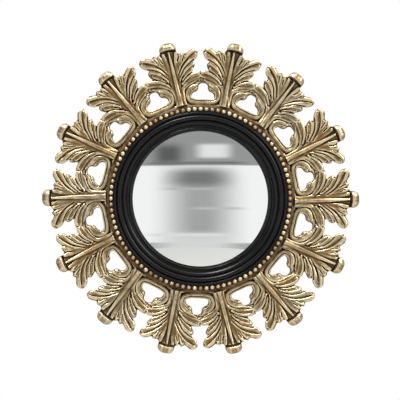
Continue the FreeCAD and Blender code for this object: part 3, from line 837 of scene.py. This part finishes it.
    def mark_hollows(self, mesh: Mesh) -> None:
        """Write how hollow each place is, from the difference to a smoothed copy of the surface; the gilding
        paints shade in hollows and highlight on crests from it.
        """
        places, facing = points_of(mesh), normals_of(mesh)
        flat = np.empty(len(mesh.edges) * 2, np.int32)
        mesh.edges.foreach_get("vertices", flat)
        one, two = flat.reshape(-1, 2).T
        count = np.maximum(np.bincount(one, minlength=len(places)) + np.bincount(two, minlength=len(places)), 1)
        smoothed = places.copy()
        hollow = np.zeros(len(places))
        step = self.voxel
        rounds = max(2, int(self.broad_rounds * (self.voxel / step) ** 2))
        fine = max(1, int(self.fine_rounds * (self.voxel / step) ** 2))
        for number in range(1, rounds + 1):
            total = np.stack([
                np.bincount(one, smoothed[two, axis], len(places))
                + np.bincount(two, smoothed[one, axis], len(places)) for axis in range(3)], axis=1)
            smoothed = total / count[:, None]
            if number == fine:
                hollow += self.fine_share * np.einsum("ij,ij->i", smoothed - places, facing)
        hollow += self.broad_share * np.einsum("ij,ij->i", smoothed - places, facing)
        write_attribute(mesh, "hollow", np.clip(self.level_hollow + self.hollow_share * hollow, 0, 1))

    def set_up(self, mesh: Mesh, name: str, angle: float, node: str) -> None:
        """Mark a carving's hollows, turn it to its place on the ring and hand it over."""
        self.mark_hollows(mesh)
        mesh.transform(standing(angle))
        smooth_faces(mesh)
        hand_over(mesh, name, self.finish, node)


@dataclass
class Profile:
    """Depth of a blank's front along v."""

    degree: ClassVar[int] = 5
    steps: ClassVar[int] = 24
    far: ClassVar[float] = 200.0
    places: np.ndarray
    depths: np.ndarray

    @classmethod
    def read(cls, tree: BVHTree, u: float, low: float, high: float) -> "Profile":
        """Read a smooth profile by looking at the mesh from in front.

        Args:
            tree: Search tree of the mesh.
            u: Sideways place of the reading.
            low: First v.
            high: Last v.

        Returns:
            The profile.
        """
        found = []
        for v in np.linspace(low, high, cls.steps):
            hit = tree.ray_cast(Vector((u, v, cls.far)), Vector((0, 0, -1)))[0]
            if hit is not None:
                found.append((v, hit.z))
        places, depths = np.array(found).T
        return cls(places, np.polyval(np.polyfit(places, depths, cls.degree), places))

    def __call__(self, v: np.ndarray) -> np.ndarray:
        """Depth at each v."""
        return np.interp(v, self.places, self.depths)


@dataclass
class LeafCarving:
    """The fourteen acanthus leaves: midrib, folded lobes, eyes and a pleated hood."""

    carver: Carver
    recess: float = 2.4
    profile_u: float = 6.2
    foot_v: float = 182.0
    head_v: float = 283.5
    hood_v: float = 285.4
    hood_fade: float = 3.0
    pleat_height: float = 0.22
    pleat_spacing: float = 7.2
    pleat_middle: float = 1.5
    web_drop: float = -6.0
    seed: int = 41

    def midrib(self) -> list[Ridge]:
        """The midrib, its flared foot and the smooth folds that rise beside it."""
        return [
            Ridge(((4.6, 180), (3.8, 205), (3.2, 235), (2.4, 262), (1.4, 284)), 4.6, 1.8, 0.8, Taper.VEIN),
            Ridge(((3.4, 214), (1.8, 200), (-0.8, 189), (-3.4, 180)), 2.4, 1.0),
            Ridge(((5.6, 214), (8.0, 200), (11.2, 189), (14.6, 180)), 2.4, 1.0),
            Ridge(((7.0, 190), (8.8, 220), (11.6, 252), (15.0, 281)), 5.6, -1.2, 1.0),
            Ridge(((9.5, 216), (15.0, 246), (19.0, 263), (23.0, 276)), 4.4, -0.2, 1.0),
            Ridge(((1.0, 190), (-1.8, 220), (-5.4, 254), (-9.6, 283)), 5.6, -1.2, 1.0),
            Ridge(((-2.6, 216), (-8.8, 247), (-13.6, 266), (-18.4, 281)), 4.4, -0.2, 1.0),
            Ridge(((12.4, 180), (11.8, 200), (13.8, 210), (18.6, 218)), 3.9, -0.4, 0.0, Taper.BAND),
            Ridge(((-1.6, 180), (-1.2, 200), (-3.8, 211), (-9.4, 219)), 3.9, -0.4, 0.0, Taper.BAND),
        ]

    def small_lobes(self) -> list[Ridge]:
        """The short leaflets between the top of the shaft and the upper lobes."""
        return both_sides(
            (((14.0, 250), (20.4, 261), (25.4, 269), (29.6, 276)),
             ((-12.0, 252), (-18.6, 264), (-24.0, 272.5), (-28.0, 279)), 3.2, 0.5, 1.2),
            (((18.0, 256), (25.4, 264.6), (31.6, 271)),
             ((-16.0, 260), (-24.4, 269.5), (-31.6, 275.6)), 2.8, 0.0, 0.8))

    def upper_lobes(self) -> list[Ridge]:
        """The long upper lobes, each a broad lower fold and a narrower upper one."""
        return both_sides(
            (((10.5, 244), (23, 260.0), (36, 269.6), (46, 274.2), (53, 275.6)),
             ((-7.0, 245), (-20, 262.0), (-34, 271.8), (-46, 276.8), (-53, 277.2)), 4.4, 0.2, 1.8),
            (((12.0, 233), (24, 248.4), (37, 259.2), (47, 265.4), (53.4, 271.4)),
             ((-8.0, 235), (-19, 250), (-33, 260.2), (-46, 266.2), (-54, 272)), 6.2, 0.0, 1.8))

    def middle_lobes(self) -> list[Ridge]:
        """The middle lobes, two broad folds each, and the thin folds that wrap the lower eyes."""
        return both_sides(
            (((13, 231), (23.5, 242), (33.5, 248.8), (42.4, 252.8)),
             ((-8.6, 232), (-19.5, 243), (-30.5, 250.4), (-39.8, 254.0)), 4.9, 0.6, 1.6),
            (((15, 228.4), (25.5, 236.6), (34.6, 241.8), (41.0, 245.4)),
             ((-10.0, 229), (-21, 238.2), (-31.2, 243.8), (-38.6, 246.8)), 3.8, 0.2, 0.8),
            (((12.4, 226), (15.2, 232.6), (20, 238.4), (25, 240.6)),
             ((-9.0, 228), (-12.2, 235), (-17.6, 240.6), (-24, 243)), 2.1, 2.4, 0.0, Taper.SPRIG),
            (((14.6, 222), (20.4, 228), (25, 233), (30, 237)),
             ((-11.0, 223), (-17.6, 229.6), (-23, 235), (-28.8, 238.8)), 2.5, 1.6, 0.0, Taper.SPRIG))

    def lower_lobes(self) -> list[Ridge]:
        """The lower lobes, which reach across to the next leaf over the opening."""
        return both_sides(
            (((14, 220), (24, 227.8), (36, 232.8), (46, 234.2), (52.0, 233.0)),
             ((-9.0, 221), (-19, 228.8), (-32, 234.4), (-44, 235.8), (-52.0, 233.6)), 4.4, 0.8, 1.2),
            (((15.4, 214.6), (25.4, 222.4), (37, 227.2), (47, 228.8), (54, 229.0)),
             ((-9.0, 215.0), (-20, 223.2), (-33, 228.2), (-45, 229.4), (-55, 229.0)), 4.2, 0.4, 0.8),
            (((17.4, 210.6), (27, 217.4), (37, 221.2), (46, 223.6)),
             ((-10.6, 210.6), (-21, 217.6), (-33, 221.0), (-45, 222.8)), 2.8, -0.4, 0.2))

    def webs(self) -> list[Ridge]:
        """Low floors that close the notches between overlapping lobes."""
        return [Ridge(path, half_width, self.web_drop, 0.0, Taper.BAND) for path, half_width in (
            (((24, 255), (34, 258.2), (44, 260.0)), 3.4),
            (((-22, 255), (-32, 258.6), (-42, 260.2)), 3.4),
            (((24, 236), (32, 239.4), (39.5, 241.6)), 3.0),
            (((-24, 237.5), (-32, 241.4), (-39, 243.4)), 3.0),
            (((24, 268), (30, 274.5)), 2.6),
            (((-24, 270), (-31, 277.5)), 2.6))]

    def gouges(self) -> list[Cut]:
        """Crisp valleys between the lobes, the eyes and the shadow under the hood."""
        return [Cut(path, *sizes) for *paths, sizes in (
            (((11.6, 239), (24.0, 255.6), (37.0, 266.4), (51.0, 273.4)),
             ((-6.6, 241), (-19.0, 257.6), (-33.0, 267.8), (-49.0, 273.6)), (1.5, 1.9)),
            (((15.0, 264.0), (17.2, 267.8), (19.0, 271.6)),
             ((-13.2, 265.4), (-15.4, 269.4), (-17.0, 273.6)), (1.4, 3.6)),
            (((14.6, 228.0), (17.4, 232.0), (21.4, 235.4)),
             ((-11.8, 230.4), (-15.0, 234.6), (-19.0, 237.6)), (1.4, 3.6)),
            (((14.0, 234.0), (26.0, 249.0), (38.0, 256.4), (46.0, 260.4)),
             ((-9.4, 235.0), (-21.0, 250.0), (-33.0, 257.0), (-44.0, 260.6)), (1.5, 2.6)),
            (((26.0, 240.4), (34.0, 245.6), (42.0, 249.6)),
             ((-21.0, 241.4), (-31.0, 247.4), (-39.4, 250.8)), (1.2, 1.6)),
            (((16.0, 224.0), (26.0, 232.8), (34.0, 237.0), (43.0, 238.8)),
             ((-10.4, 225.0), (-21.0, 233.8), (-31.0, 238.6), (-41.0, 240.2)), (1.4, 2.6)),
            (((22.0, 223.4), (35.0, 230.8), (48.0, 232.6)),
             ((-17.0, 224.8), (-32.0, 232.0), (-47.0, 233.6)), (1.1, 1.5)),
            (((24.0, 262.0), (28.6, 270.6)), ((-21.0, 264.0), (-27.4, 274.0)), (1.2, 2.6)),
            (((-13.0, 283.6), (1.8, 284.6), (16.5, 282.6)), (2.2, 3.0)),
        ) for path in paths]

    def blank(self) -> tuple[Mesh, Profile]:
        """The plain leaf with its front pared back and rounded over, and the profile of the CAD's front.

        Returns:
            The blank's mesh in its own axes, and the depth of the leaf's front along v.
        """
        mesh = cad_copy("acanthus_leaf_01", standing(PITCH / 2))
        shape = bmesh.new()
        shape.from_mesh(mesh)
        tree = BVHTree.FromBMesh(shape)
        shape.free()
        front = Profile.read(tree, self.profile_u, self.foot_v, self.head_v)
        return self.carver.pared(mesh, front, self.recess, self.foot_v, self.head_v), front

    def pleat(self, mesh: Mesh) -> None:
        """Work shallow pleats into the hood."""
        places, facing = points_of(mesh), normals_of(mesh)
        on_hood = np.clip((places[:, 1] - self.hood_v) / self.hood_fade, 0, 1)
        wave = np.cos((places[:, 0] - self.pleat_middle) * math.tau / self.pleat_spacing)
        places -= facing * (self.pleat_height * (0.5 - 0.5 * wave) * on_hood)[:, None]
        move_points(mesh, places)

    def build(self) -> None:
        """Carve and set every leaf."""
        blank, front = self.blank()
        ridges = (self.midrib() + self.small_lobes() + self.upper_lobes() + self.middle_lobes()
                  + self.lower_lobes() + self.webs())
        for number in range(1, LEAVES + 1):
            name = f"carved_leaf_{number:02d}"
            lines = self.carver.ridge_lines(ridges, front, random.Random(self.seed + number))
            mesh = self.carver.solid(blank, lines, name)
            self.carver.gouge(mesh, self.gouges())
            self.pleat(mesh)
            self.carver.set_up(mesh, name, PITCH * (number - 0.5), f"acanthus_leaf_{number:02d}")
        bpy.data.meshes.remove(blank)


@dataclass
class ScrollCarving:
    """The fourteen scrolls between the leaves, each a rolled band round an opening."""

    carver: Carver
    recess: float = 2.2
    lean: float = 1.6
    foot_v: float = 177.0
    head_v: float = 232.0
    seed: int = 97

    def ridges(self) -> list[Ridge]:
        """The roll of the band, its inner rim and the leaflets at its ends, right-hand side first."""
        half = [
            Ridge(((-1, 185.2), (13, 185.3), (24, 188.4), (29.0, 196.4), (27.6, 205), (22.6, 211.8),
                   (16.6, 216.4)), 5.8, -0.2, 1.6, Taper.BAND),
            Ridge(((-1, 189.2), (14, 189.3), (22.4, 191.8), (24.2, 198.4), (22.0, 204.6)), 1.9, 1.4, 0.0,
                  Taper.BAND),
            Ridge(((26.4, 205), (20.8, 211.6), (15.2, 216.0), (10.6, 219.4)), 3.0, 1.4, 1.6),
            Ridge(((26.0, 202), (20.4, 208.6), (15.4, 212.4), (11.6, 214.6)), 2.6, 1.4, 1.2),
            Ridge(((25.0, 200), (21.0, 205.4), (16.8, 208.8)), 2.2, 1.2, 0.4),
        ]
        return self.leaning(half)

    def gouges(self) -> list[Cut]:
        """Fine valleys between the leaflets at the band's ends and under its inner rim."""
        half = [
            Cut(((22.0, 207.4), (16.0, 212.0), (10.6, 215.2)), 1.0, 1.7),
            Cut(((20.6, 205.2), (15.8, 208.8)), 0.9, 1.4),
            Cut(((0, 187.4), (14, 187.5), (24.6, 190.6), (26.4, 198.0)), 1.0, 1.6),
        ]
        return self.leaning(half)

    def leaning(self, half: list) -> list:
        """Both sides of a half's ridges or cuts, turned clockwise with the opening.

        Args:
            half: The ridges or cuts of the right-hand side.

        Returns:
            Those of the right-hand side and then of the left.
        """
        turn = math.radians(self.lean)
        cos, sin = math.cos(turn), math.sin(turn)
        return [replace(line, path=tuple(
            (side * u * cos + v * sin, v * cos - side * u * sin) for u, v in line.path))
            for side in (1, -1) for line in half]

    def build(self) -> None:
        """Carve and set every scroll."""
        mesh = cad_copy("scroll_link_01", standing(0.0))
        depth = float(points_of(mesh)[:, 2].max())
        level = Profile(np.array([self.foot_v, self.head_v]), np.array([depth, depth]))
        mesh = self.carver.pared(mesh, level, self.recess, self.foot_v, self.head_v)
        for number in range(1, LEAVES + 1):
            name = f"carved_scroll_{number:02d}"
            lines = self.carver.ridge_lines(self.ridges(), level, random.Random(self.seed + number))
            carved = self.carver.solid(mesh, lines, name)
            self.carver.gouge(carved, self.gouges())
            self.carver.set_up(carved, name, PITCH * (number - 1), f"scroll_link_{number:02d}")
        bpy.data.meshes.remove(mesh)


# ---------------------------------------------------------------- turned pieces
@dataclass
class Lathe:
    """Turns closed sections about the mirror's axis."""

    segments: int = 720
    arc_points: int = 10

    def outline(self, start: Pair, stretches: Sequence[tuple[Pair, ...]]) -> list[Pair]:
        """Points along a section of lines and arcs.

        Args:
            start: First (radius, depth) pair.
            stretches: Each a line (to,) or an arc (through, to).

        Returns:
            The section's points, without its first one repeated.
        """
        points = [start]
        for stretch in stretches:
            if len(stretch) == 1:
                points.append(stretch[0])
            else:
                points += self.arc(points[-1], *stretch)
        return points

    def arc(self, start: Pair, through: Pair, end: Pair) -> list[Pair]:
        """Points after the start of the arc through three pairs."""
        (ax, ay), (bx, by), (cx, cy) = start, through, end
        cross = 2 * (ax * (by - cy) + bx * (cy - ay) + cx * (ay - by))
        squares = [x * x + y * y for x, y in (start, through, end)]
        x = (squares[0] * (by - cy) + squares[1] * (cy - ay) + squares[2] * (ay - by)) / cross
        y = (squares[0] * (cx - bx) + squares[1] * (ax - cx) + squares[2] * (bx - ax)) / cross
        radius = math.hypot(ax - x, ay - y)
        first, middle, last = (math.atan2(py - y, px - x) for px, py in (start, through, end))
        sweep = (last - first) % math.tau
        if (middle - first) % math.tau > sweep:
            sweep -= math.tau
        turns = [first + sweep * step / self.arc_points for step in range(1, self.arc_points + 1)]
        return [(x + radius * math.cos(turn), y + radius * math.sin(turn)) for turn in turns]

    def turn(self, outline: Sequence[Pair], name: str) -> Mesh:
        """Spin a closed (radius, depth) outline.

        Args:
            outline: The section. A radius of 0 is a pole.
            name: Name of the mesh.

        Returns:
            A closed mesh in the piece's own axes.
        """
        shape = bmesh.new()
        rings = []
        for radius, depth in outline:
            if radius < HAIR:
                rings.append([shape.verts.new((0, 0, depth))] * self.segments)
            else:
                turns = (math.tau * step / self.segments for step in range(self.segments))
                rings.append([shape.verts.new((radius * math.cos(t), radius * math.sin(t), depth)) for t in turns])
        for here, there in zip(rings, rings[1:] + rings[:1]):
            for step in range(self.segments):
                beside = (step + 1) % self.segments
                corners = [here[step], here[beside], there[beside], there[step]]
                unique = list(dict.fromkeys(corners))
                if len(unique) > 2:
                    shape.faces.new(unique)
        bmesh.ops.recalc_face_normals(shape, faces=shape.faces)
        mesh = bpy.data.meshes.new(name)
        shape.to_mesh(mesh)
        shape.free()
        return mesh


@dataclass
class BlackSlip:
    """The ebonised ring between beads and glass: an inner lip, a quirk, a broad round and an outer round."""

    lathe: Lathe
    finish: Material
    inner_height: float = 3.5
    lip_trim: float = 1.3
    section: tuple[tuple[Pair, ...], ...] = (
        ((2.6, 5.3), (4.2, 4.0)), ((6.0, 3.0),), ((8.4, 3.6),), ((12.0, 7.9), (16.0, 8.8)), ((17.3, 7.4),),
        ((18.4, 8.8),), ((22.8, 13.0), (26.8, 10.4)), ((27.8, 8.4),), ((29.0, 9.2),), ((31.4, 11.2), (34.0, 8.6)))

    def build(self) -> None:
        """Turn the ring to the CAD ring's own radii and seat."""
        low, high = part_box("ebonised_slip")
        outer = (high.x - low.x) / 2 / MM
        seat = -high.y / MM
        sight = outer - self.section[-1][-1][0]
        stretches = [tuple((sight + out, seat + up) for out, up in stretch) for stretch in self.section]
        lip = sight + self.lip_trim
        outline = self.lathe.outline(
            (lip, seat), [((lip, seat + self.inner_height),), *stretches, ((outer, seat),)])
        mesh = self.lathe.turn(outline, "black_slip")
        mesh.transform(standing(0.0))
        smooth_faces(mesh, 32.0)
        hand_over(mesh, "black_slip", self.finish, "ebonised_slip")


@dataclass
class DomedGlass:
    """The convex looking glass, with a small ground chamfer round its edge."""

    lathe: Lathe
    finish: Material
    curve: float = 420.0
    thickness: float = 3.0
    chamfer: float = 0.6
    rings: int = 64

    def build(self) -> None:
        """Turn the dome from the CAD glass's radius and apex."""
        low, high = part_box("mirror_glass")
        radius = (high.x - low.x) / 2 / MM
        apex = -low.y / MM
        reach = np.linspace(0, radius - self.chamfer, self.rings)
        front = [(float(r), apex - self.curve + math.sqrt(self.curve**2 - r**2)) for r in reach]
        inner = self.curve - self.thickness
        back = [(float(r), apex - self.curve + math.sqrt(inner**2 - r**2)) for r in reach[::-1]]
        edge_front = (radius, front[-1][1] - self.chamfer)
        edge_back = (radius, back[0][1] + self.chamfer)
        mesh = self.lathe.turn(front + [edge_front, edge_back] + back, "domed_glass")
        mesh.transform(standing(0.0))
        smooth_faces(mesh, 20.0)
        hand_over(mesh, "domed_glass", self.finish, "mirror_glass")


@dataclass
class BeadMoulding:
    """The gilt bead moulding: ninety-six beads on a thin rail."""

    lathe: Lathe
    finish: Material
    count: int = 96
    radius: float = 4.8
    lift: float = 3.4
    rail_width: float = 8.0
    rail_thickness: float = 1.5
    height_share: float = 0.92
    offset_share: float = 0.03
    seed: int = 7

    def build(self) -> None:
        """Set the beads on their rail and mark the hollows between them, which the gilding paints as shade, with
        the beads' fronts lighter as painted highlight.
        """
        low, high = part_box("bead_ring")
        seat = -high.y / MM
        circle = (high.x - low.x) / 2 / MM - self.radius
        inner, outer = circle - self.rail_width / 2, circle + self.rail_width / 2
        top = seat + self.rail_thickness
        rail = self.lathe.turn([(inner, seat), (inner, top), (outer, top), (outer, seat)], "rail")
        tree = BeadTree()
        mesh = tree.run(rail, "bead_moulding", Count=self.count, Circle=circle, Radius=self.radius,
                        Lift=seat + self.lift, Seed=self.seed, Finish=self.finish)
        self.trim(mesh, seat)
        places = points_of(mesh)
        # Painted shade and highlight: low on the rail and off the bead line is darker, the bead fronts lighter.
        offset = np.abs(np.hypot(places[:, 0], places[:, 1]) - circle)
        height = (places[:, 2] - seat) / (self.lift + self.radius)
        hollow = 1.0 - self.height_share * height + self.offset_share * offset
        write_attribute(mesh, "hollow", np.clip(hollow, 0, 1))
        mesh.transform(standing(0.0))
        hand_over(mesh, "bead_moulding", self.finish, "bead_ring")

    @staticmethod
    def trim(mesh: Mesh, seat: float) -> None:
        """Flatten what of the beads lies below their seat."""
        places = points_of(mesh)
        places[:, 2] = np.maximum(places[:, 2], seat)
        move_points(mesh, places)


@dataclass
class TurnedRing:
    """The gilt wooden ring behind everything, kept as the CAD makes it."""

    front_finish: Material
    back_finish: Material

    def build(self) -> None:
        """Gild the ring's front and leave its back bare."""
        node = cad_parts["ring_frame"]
        node.data.materials.clear()
        node.data.materials.append(self.front_finish)
        node.data.materials.append(self.back_finish)
        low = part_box("ring_frame")[0].y
        cove = np.array([polygon.center.y < low * 0.55 for polygon in node.data.polygons])
        node.data.polygons.foreach_set("material_index", np.where(cove, 0, 1).astype(np.int32))
        node.data.update()
        log.info("ring_frame: %d faces gilt", int(cove.sum()))


# ---------------------------------------------------------------- hardware at the back
@dataclass
class ScrewSets:
    """Countersunk slotted screws, set by their CAD solids' places."""

    tree: ScrewTree
    steel: Material
    brass: Material
    head_share: float = 1.9
    rise_share: float = 0.55
    slot_share: float = 0.34
    slot_depth: float = 0.9
    sides: int = 40

    def screw(self, radius: float, length: float, brass: bool) -> bpy.types.Object:
        """One screw, its head at the origin and its point forward.

        Args:
            radius: Shank's radius.
            length: Whole length.
            brass: Whether it is a brass one.

        Returns:
            The screw as an object, in millimetres.
        """
        head = self.head_share * radius
        rise = self.rise_share * head
        outline = [(0.0, 0.0), (head * 0.97, 0.0), (head, 0.12), (radius, rise), (radius, length - radius),
                   (radius / 4, length), (0.0, length)]
        mesh = Lathe(segments=self.sides).turn(outline, "screw_blank")
        blank = new_object("screw_blank", mesh)
        half = self.slot_share * radius
        slot_mesh = bpy.data.meshes.new("slot_cutter")
        shape = bmesh.new()
        bmesh.ops.create_cube(shape, size=1.0)
        bmesh.ops.scale(shape, vec=(2.4 * head, 2 * half, 2 * self.slot_depth), verts=shape.verts)
        shape.to_mesh(slot_mesh)
        shape.free()
        cutter = new_object("slot_cutter", slot_mesh)
        cut = blank.modifiers.new("slot", "BOOLEAN")
        cut.operation = "DIFFERENCE"
        cut.solver = "EXACT"
        cut.object = cutter
        made = new_object("screw", settled(blank, "screw"))
        bpy.data.objects.remove(cutter)
        smooth_faces(made.data, 30.0)
        made.data.materials.clear()
        made.data.materials.append(self.brass if brass else self.steel)
        return made

    def build(self) -> None:
        """Set every kind of screw."""
        for node, radius, length, brass, seed in (("leaf_screws", 1.75, 18.0, False, 3),
                                                  ("link_screws", 1.75, 18.0, False, 4),
                                                  ("button_screws", 1.6, 12.0, True, 5),
                                                  ("hanger_screws", 1.75, 14.0, True, 6)):
            into = standing(0.0).inverted()
            centres = [into @ centre for centre in island_centres(node)]
            back = -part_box(node)[1].y / MM
            points = bpy.data.meshes.new("screw_points")
            points.from_pydata([(c.x, c.y, back) for c in centres], [], [])
            screw = self.screw(radius, length, brass)
            finish = self.brass if brass else self.steel
            mesh = self.tree.run(points, node, Screw=screw, Seed=seed, Finish=finish)
            bpy.data.objects.remove(screw)
            mesh.transform(standing(0.0))
            hand_over(mesh, f"slotted_{node}", finish, node)


@dataclass
class BackHardware:
    """Turn buttons, hanging plate, backing board and pads, kept as the CAD makes them."""

    brass: Material
    board: Material
    rubber: Material
    felt: Material
    wood: Material

    def build(self) -> None:
        """Give each node its finish."""
        finishes = {"hanger_plate": self.brass, "backing_board": self.board, "wall_pad_right": self.rubber,
                    "wall_pad_left": self.rubber, "glass_gasket": self.felt, "glass_retainer": self.wood}
        finishes.update({f"turn_button_{number}": self.brass for number in range(1, 7)})
        for node, finish in finishes.items():
            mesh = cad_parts[node].data
            mesh.materials.clear()
            mesh.materials.append(finish)
            log.info("%s: %s", node, finish.name)


# ---------------------------------------------------------------- studio
@dataclass(frozen=True)
class Panel:
    """A soft-edged patch of the room, as directions seen from the mirror in degrees."""

    azimuth: float
    elevation: float
    half_width: float
    half_height: float
    side_blur: float
    height_blur: float
    light: float


@dataclass
class Studio:
    """Camera, floor, lamps and the plain room that the glass and gilding reflect."""

    distance: float = 1.60
    left: float = 0.060
    below: float = 0.030
    sensor: float = 36.0
    field_width: float = 0.757
    photo_size: float = 400.0
    photo_centre: Pair = (200.6, 198.6)
    centre_depth: float = 0.040
    floor_drop: float = 0.85
    floor_radius: float = 1.5
    floor_sides: int = 96
    floor_grain: Grain = Grain(30.0)
    floor_dark: Colour = (0.80, 0.80, 0.79)
    floor_light: Colour = (0.84, 0.84, 0.83)
    floor_roughness: float = 0.7
    room_light: float = 0.42
    soft_light: float = 0.55
    soft_colour: Colour = (1.0, 0.985, 0.96)
    panels: tuple[Panel, ...] = (
        Panel(0, -2, 54, 22.5, 8, 0.9, 0.97),
        Panel(0, 78, 200, 22, 5, 8, 1.5),
        Panel(0, -75, 200, 20, 5, 12, 0.18),
        Panel(2, -3, 2, 14, 30, 14, 0.40),
        Panel(0, -30, 8, 5, 26, 9, 0.72),
        Panel(1, 13.4, 3, 1.5, 24, 6.5, 0.20),
        Panel(0, 36, 60, 15.2, 8, 0.5, 0.33),
        Panel(10, 29.2, 4, 2.8, 10, 2.6, 0.82),
        Panel(-16.5, 27.5, 2, 2, 11, 7, 0.12),
        Panel(0, 22.1, 20, 0.3, 14, 0.7, 0.18),
        Panel(-2, 6.8, 8, 0.1, 16, 1.2, 0.50),
        Panel(12, -4.6, 6, 0.1, 16, 1.2, 0.55),
        Panel(-4, -20.2, 14, 0.2, 22, 1.6, 0.78),
        Panel(22, -35.0, 2.5, 0.6, 4, 1.2, 1.0),
    )

    def camera(self) -> None:
        """The camera, level and square to the mirror, a little to the left and below its centre."""
        data = bpy.data.cameras.new("camera")
        data.sensor_width = self.sensor
        width = self.field_width
        data.lens = self.sensor * (self.distance - self.centre_depth) / width
        data.shift_x = self.left / width - (self.photo_centre[0] / self.photo_size - 0.5)
        data.shift_y = self.below / width + (self.photo_centre[1] / self.photo_size - 0.5)
        made = bpy.data.objects.new("camera", data)
        made.location = (-self.left, -self.distance, CENTRE_Z - self.below)
        made.rotation_euler = (math.pi / 2, 0, 0)
        bpy.context.scene.collection.objects.link(made)
        bpy.context.scene.camera = made

    def floor(self) -> None:
        """A plain pale floor below the mirror."""
        mesh = bpy.data.meshes.new("floor")
        shape = bmesh.new()
        bmesh.ops.create_circle(shape, cap_ends=True, segments=self.floor_sides, radius=self.floor_radius)
        shape.to_mesh(mesh)
        shape.free()
        mesh.transform(Matrix.Translation((0, 0, CENTRE_Z - self.floor_drop)))
        paint = Paint("floor")
        speck = paint.noise(paint.place, self.floor_grain)
        paint.set(Base_Color=paint.blend(speck, self.floor_dark, self.floor_light),
                  Roughness=self.floor_roughness)
        mesh.materials.append(paint.material)
        new_object("floor", mesh)

    def lamp(self, name: str, place: tuple[float, float, float], size: float, power: float) -> None:
        """A square soft lamp that looks at the mirror's centre."""
        data = bpy.data.lights.new(name, "AREA")
        data.shape = "SQUARE"
        data.size = size
        data.energy = power
        made = bpy.data.objects.new(name, data)
        made.location = place
        aim = Vector((0, 0, CENTRE_Z)) - Vector(place)
        made.rotation_euler = aim.to_track_quat("-Z", "Y").to_euler()
        bpy.context.scene.collection.objects.link(made)

    def room(self) -> None:
        """The world: white to the camera, and a plain grey room with light panels to everything else."""
        world = bpy.data.worlds.new("room")
        bpy.context.scene.world = world
        world.use_nodes = True
        world.node_tree.nodes.clear()
        sketch = Sketch(world.node_tree)
        way = sketch.node("ShaderNodeSeparateXYZ", {0: sketch.node("ShaderNodeTexCoord").outputs["Generated"]})
        x, y, z = way.outputs
        reach = sketch.math("SQRT", sketch.math("MULTIPLY_ADD", y, -2.0, 2.0))
        elevation, azimuth = (
            sketch.math("MULTIPLY", sketch.math("ARCSINE", sketch.math("DIVIDE", part, reach)), 360 / math.pi)
            for part in (z, x))
        light = self.room_light
        for panel in self.panels:
            off_side = sketch.math("ABSOLUTE", sketch.math("SUBTRACT", azimuth, panel.azimuth))
            off_height = sketch.math("ABSOLUTE", sketch.math("SUBTRACT", elevation, panel.elevation))
            across = sketch.soft_step(off_side, panel.half_width + panel.side_blur, panel.half_width)
            up = sketch.soft_step(off_height, panel.half_height + panel.height_blur, panel.half_height)
            share = sketch.math("MULTIPLY", across, up)
            step = sketch.math("MULTIPLY", share, sketch.math("SUBTRACT", panel.light, light))
            light = sketch.math("ADD", light, step)
        seen = sketch.node("ShaderNodeLightPath")
        mirrored, soft, white = (
            sketch.node("ShaderNodeBackground", {"Color": (*colour, 1), "Strength": strength}).outputs[0]
            for colour, strength in (((1, 1, 1), light), (self.soft_colour, self.soft_light), ((1, 1, 1), 1.0)))
        lit = sketch.node("ShaderNodeMixShader", {0: seen.outputs["Is Glossy Ray"], 1: soft, 2: mirrored})
        shown = sketch.node("ShaderNodeMixShader", {
            0: seen.outputs["Is Camera Ray"], 1: lit.outputs[0], 2: white})
        sketch.node("ShaderNodeOutputWorld", {"Surface": shown.outputs[0]})
        log.info("world: %d panels", len(self.panels))

    def build(self) -> None:
        """Set up the whole studio."""
        bpy.context.scene.view_settings.view_transform = "Standard"
        self.camera()
        self.floor()
        self.room()
        self.lamp("key", (-0.45, -0.95, 2.00), 0.7, 30.0)
        self.lamp("fill", (1.5, -1.0, 0.9), 0.9, 12.0)


# ---------------------------------------------------------------- the whole mirror
def main() -> None:
    """Build and dress the mirror, piece by piece."""
    logging.basicConfig(level=logging.INFO, format="%(name)s %(message)s")
    gilt = Gilding("gilt_carving").material()
    bead_gilt = Gilding("gilt_beads", metal_share=0.70, painted_side_shade=0.0, wall_side=False).material()
    ring_gilt = Timber(
        "gilt_ring", (0.26, 0.16, 0.07), (0.07, 0.035, 0.012), (1.0, 1.0, 1.0), 90.0, 0.42).material()
    bare = Timber("bare_wood", (0.55, 0.39, 0.22), (0.36, 0.22, 0.11), (1.0, 1.0, 0.08)).material()
    board = Timber(
        "backing_board", (0.33, 0.20, 0.10), (0.22, 0.125, 0.06), (1.0, 1.0, 1.0), 220.0, 0.5).material()
    brass = PlainMetal("brass", (0.78, 0.57, 0.25), (0.45, 0.29, 0.12)).material()
    screw_brass = PlainMetal("screw_brass", (0.80, 0.62, 0.30), (0.50, 0.34, 0.15), 0.26).material()
    steel = PlainMetal("screw_steel", (0.62, 0.62, 0.60), (0.42, 0.41, 0.38)).material()
    rubber = SoftStuff("pad_rubber", (0.018, 0.018, 0.018), (0.035, 0.034, 0.033), 900.0, 0.8).material()
    felt = SoftStuff("felt", (0.012, 0.012, 0.011), (0.03, 0.03, 0.028), 1400.0, 1.0).material()
    lathe = Lathe()
    carver = Carver(RidgeTree(), gilt)

    Studio().build()
    TurnedRing(ring_gilt, bare).build()
    BlackSlip(lathe, Ebonised().material()).build()
    DomedGlass(lathe, LookingGlass().material()).build()
    BeadMoulding(lathe, bead_gilt).build()
    ScrewSets(ScrewTree(), steel, screw_brass).build()
    BackHardware(brass, board, rubber, felt, bare).build()
    ScrollCarving(carver).build()
    LeafCarving(carver).build()


if __name__ == "__main__":
    main()
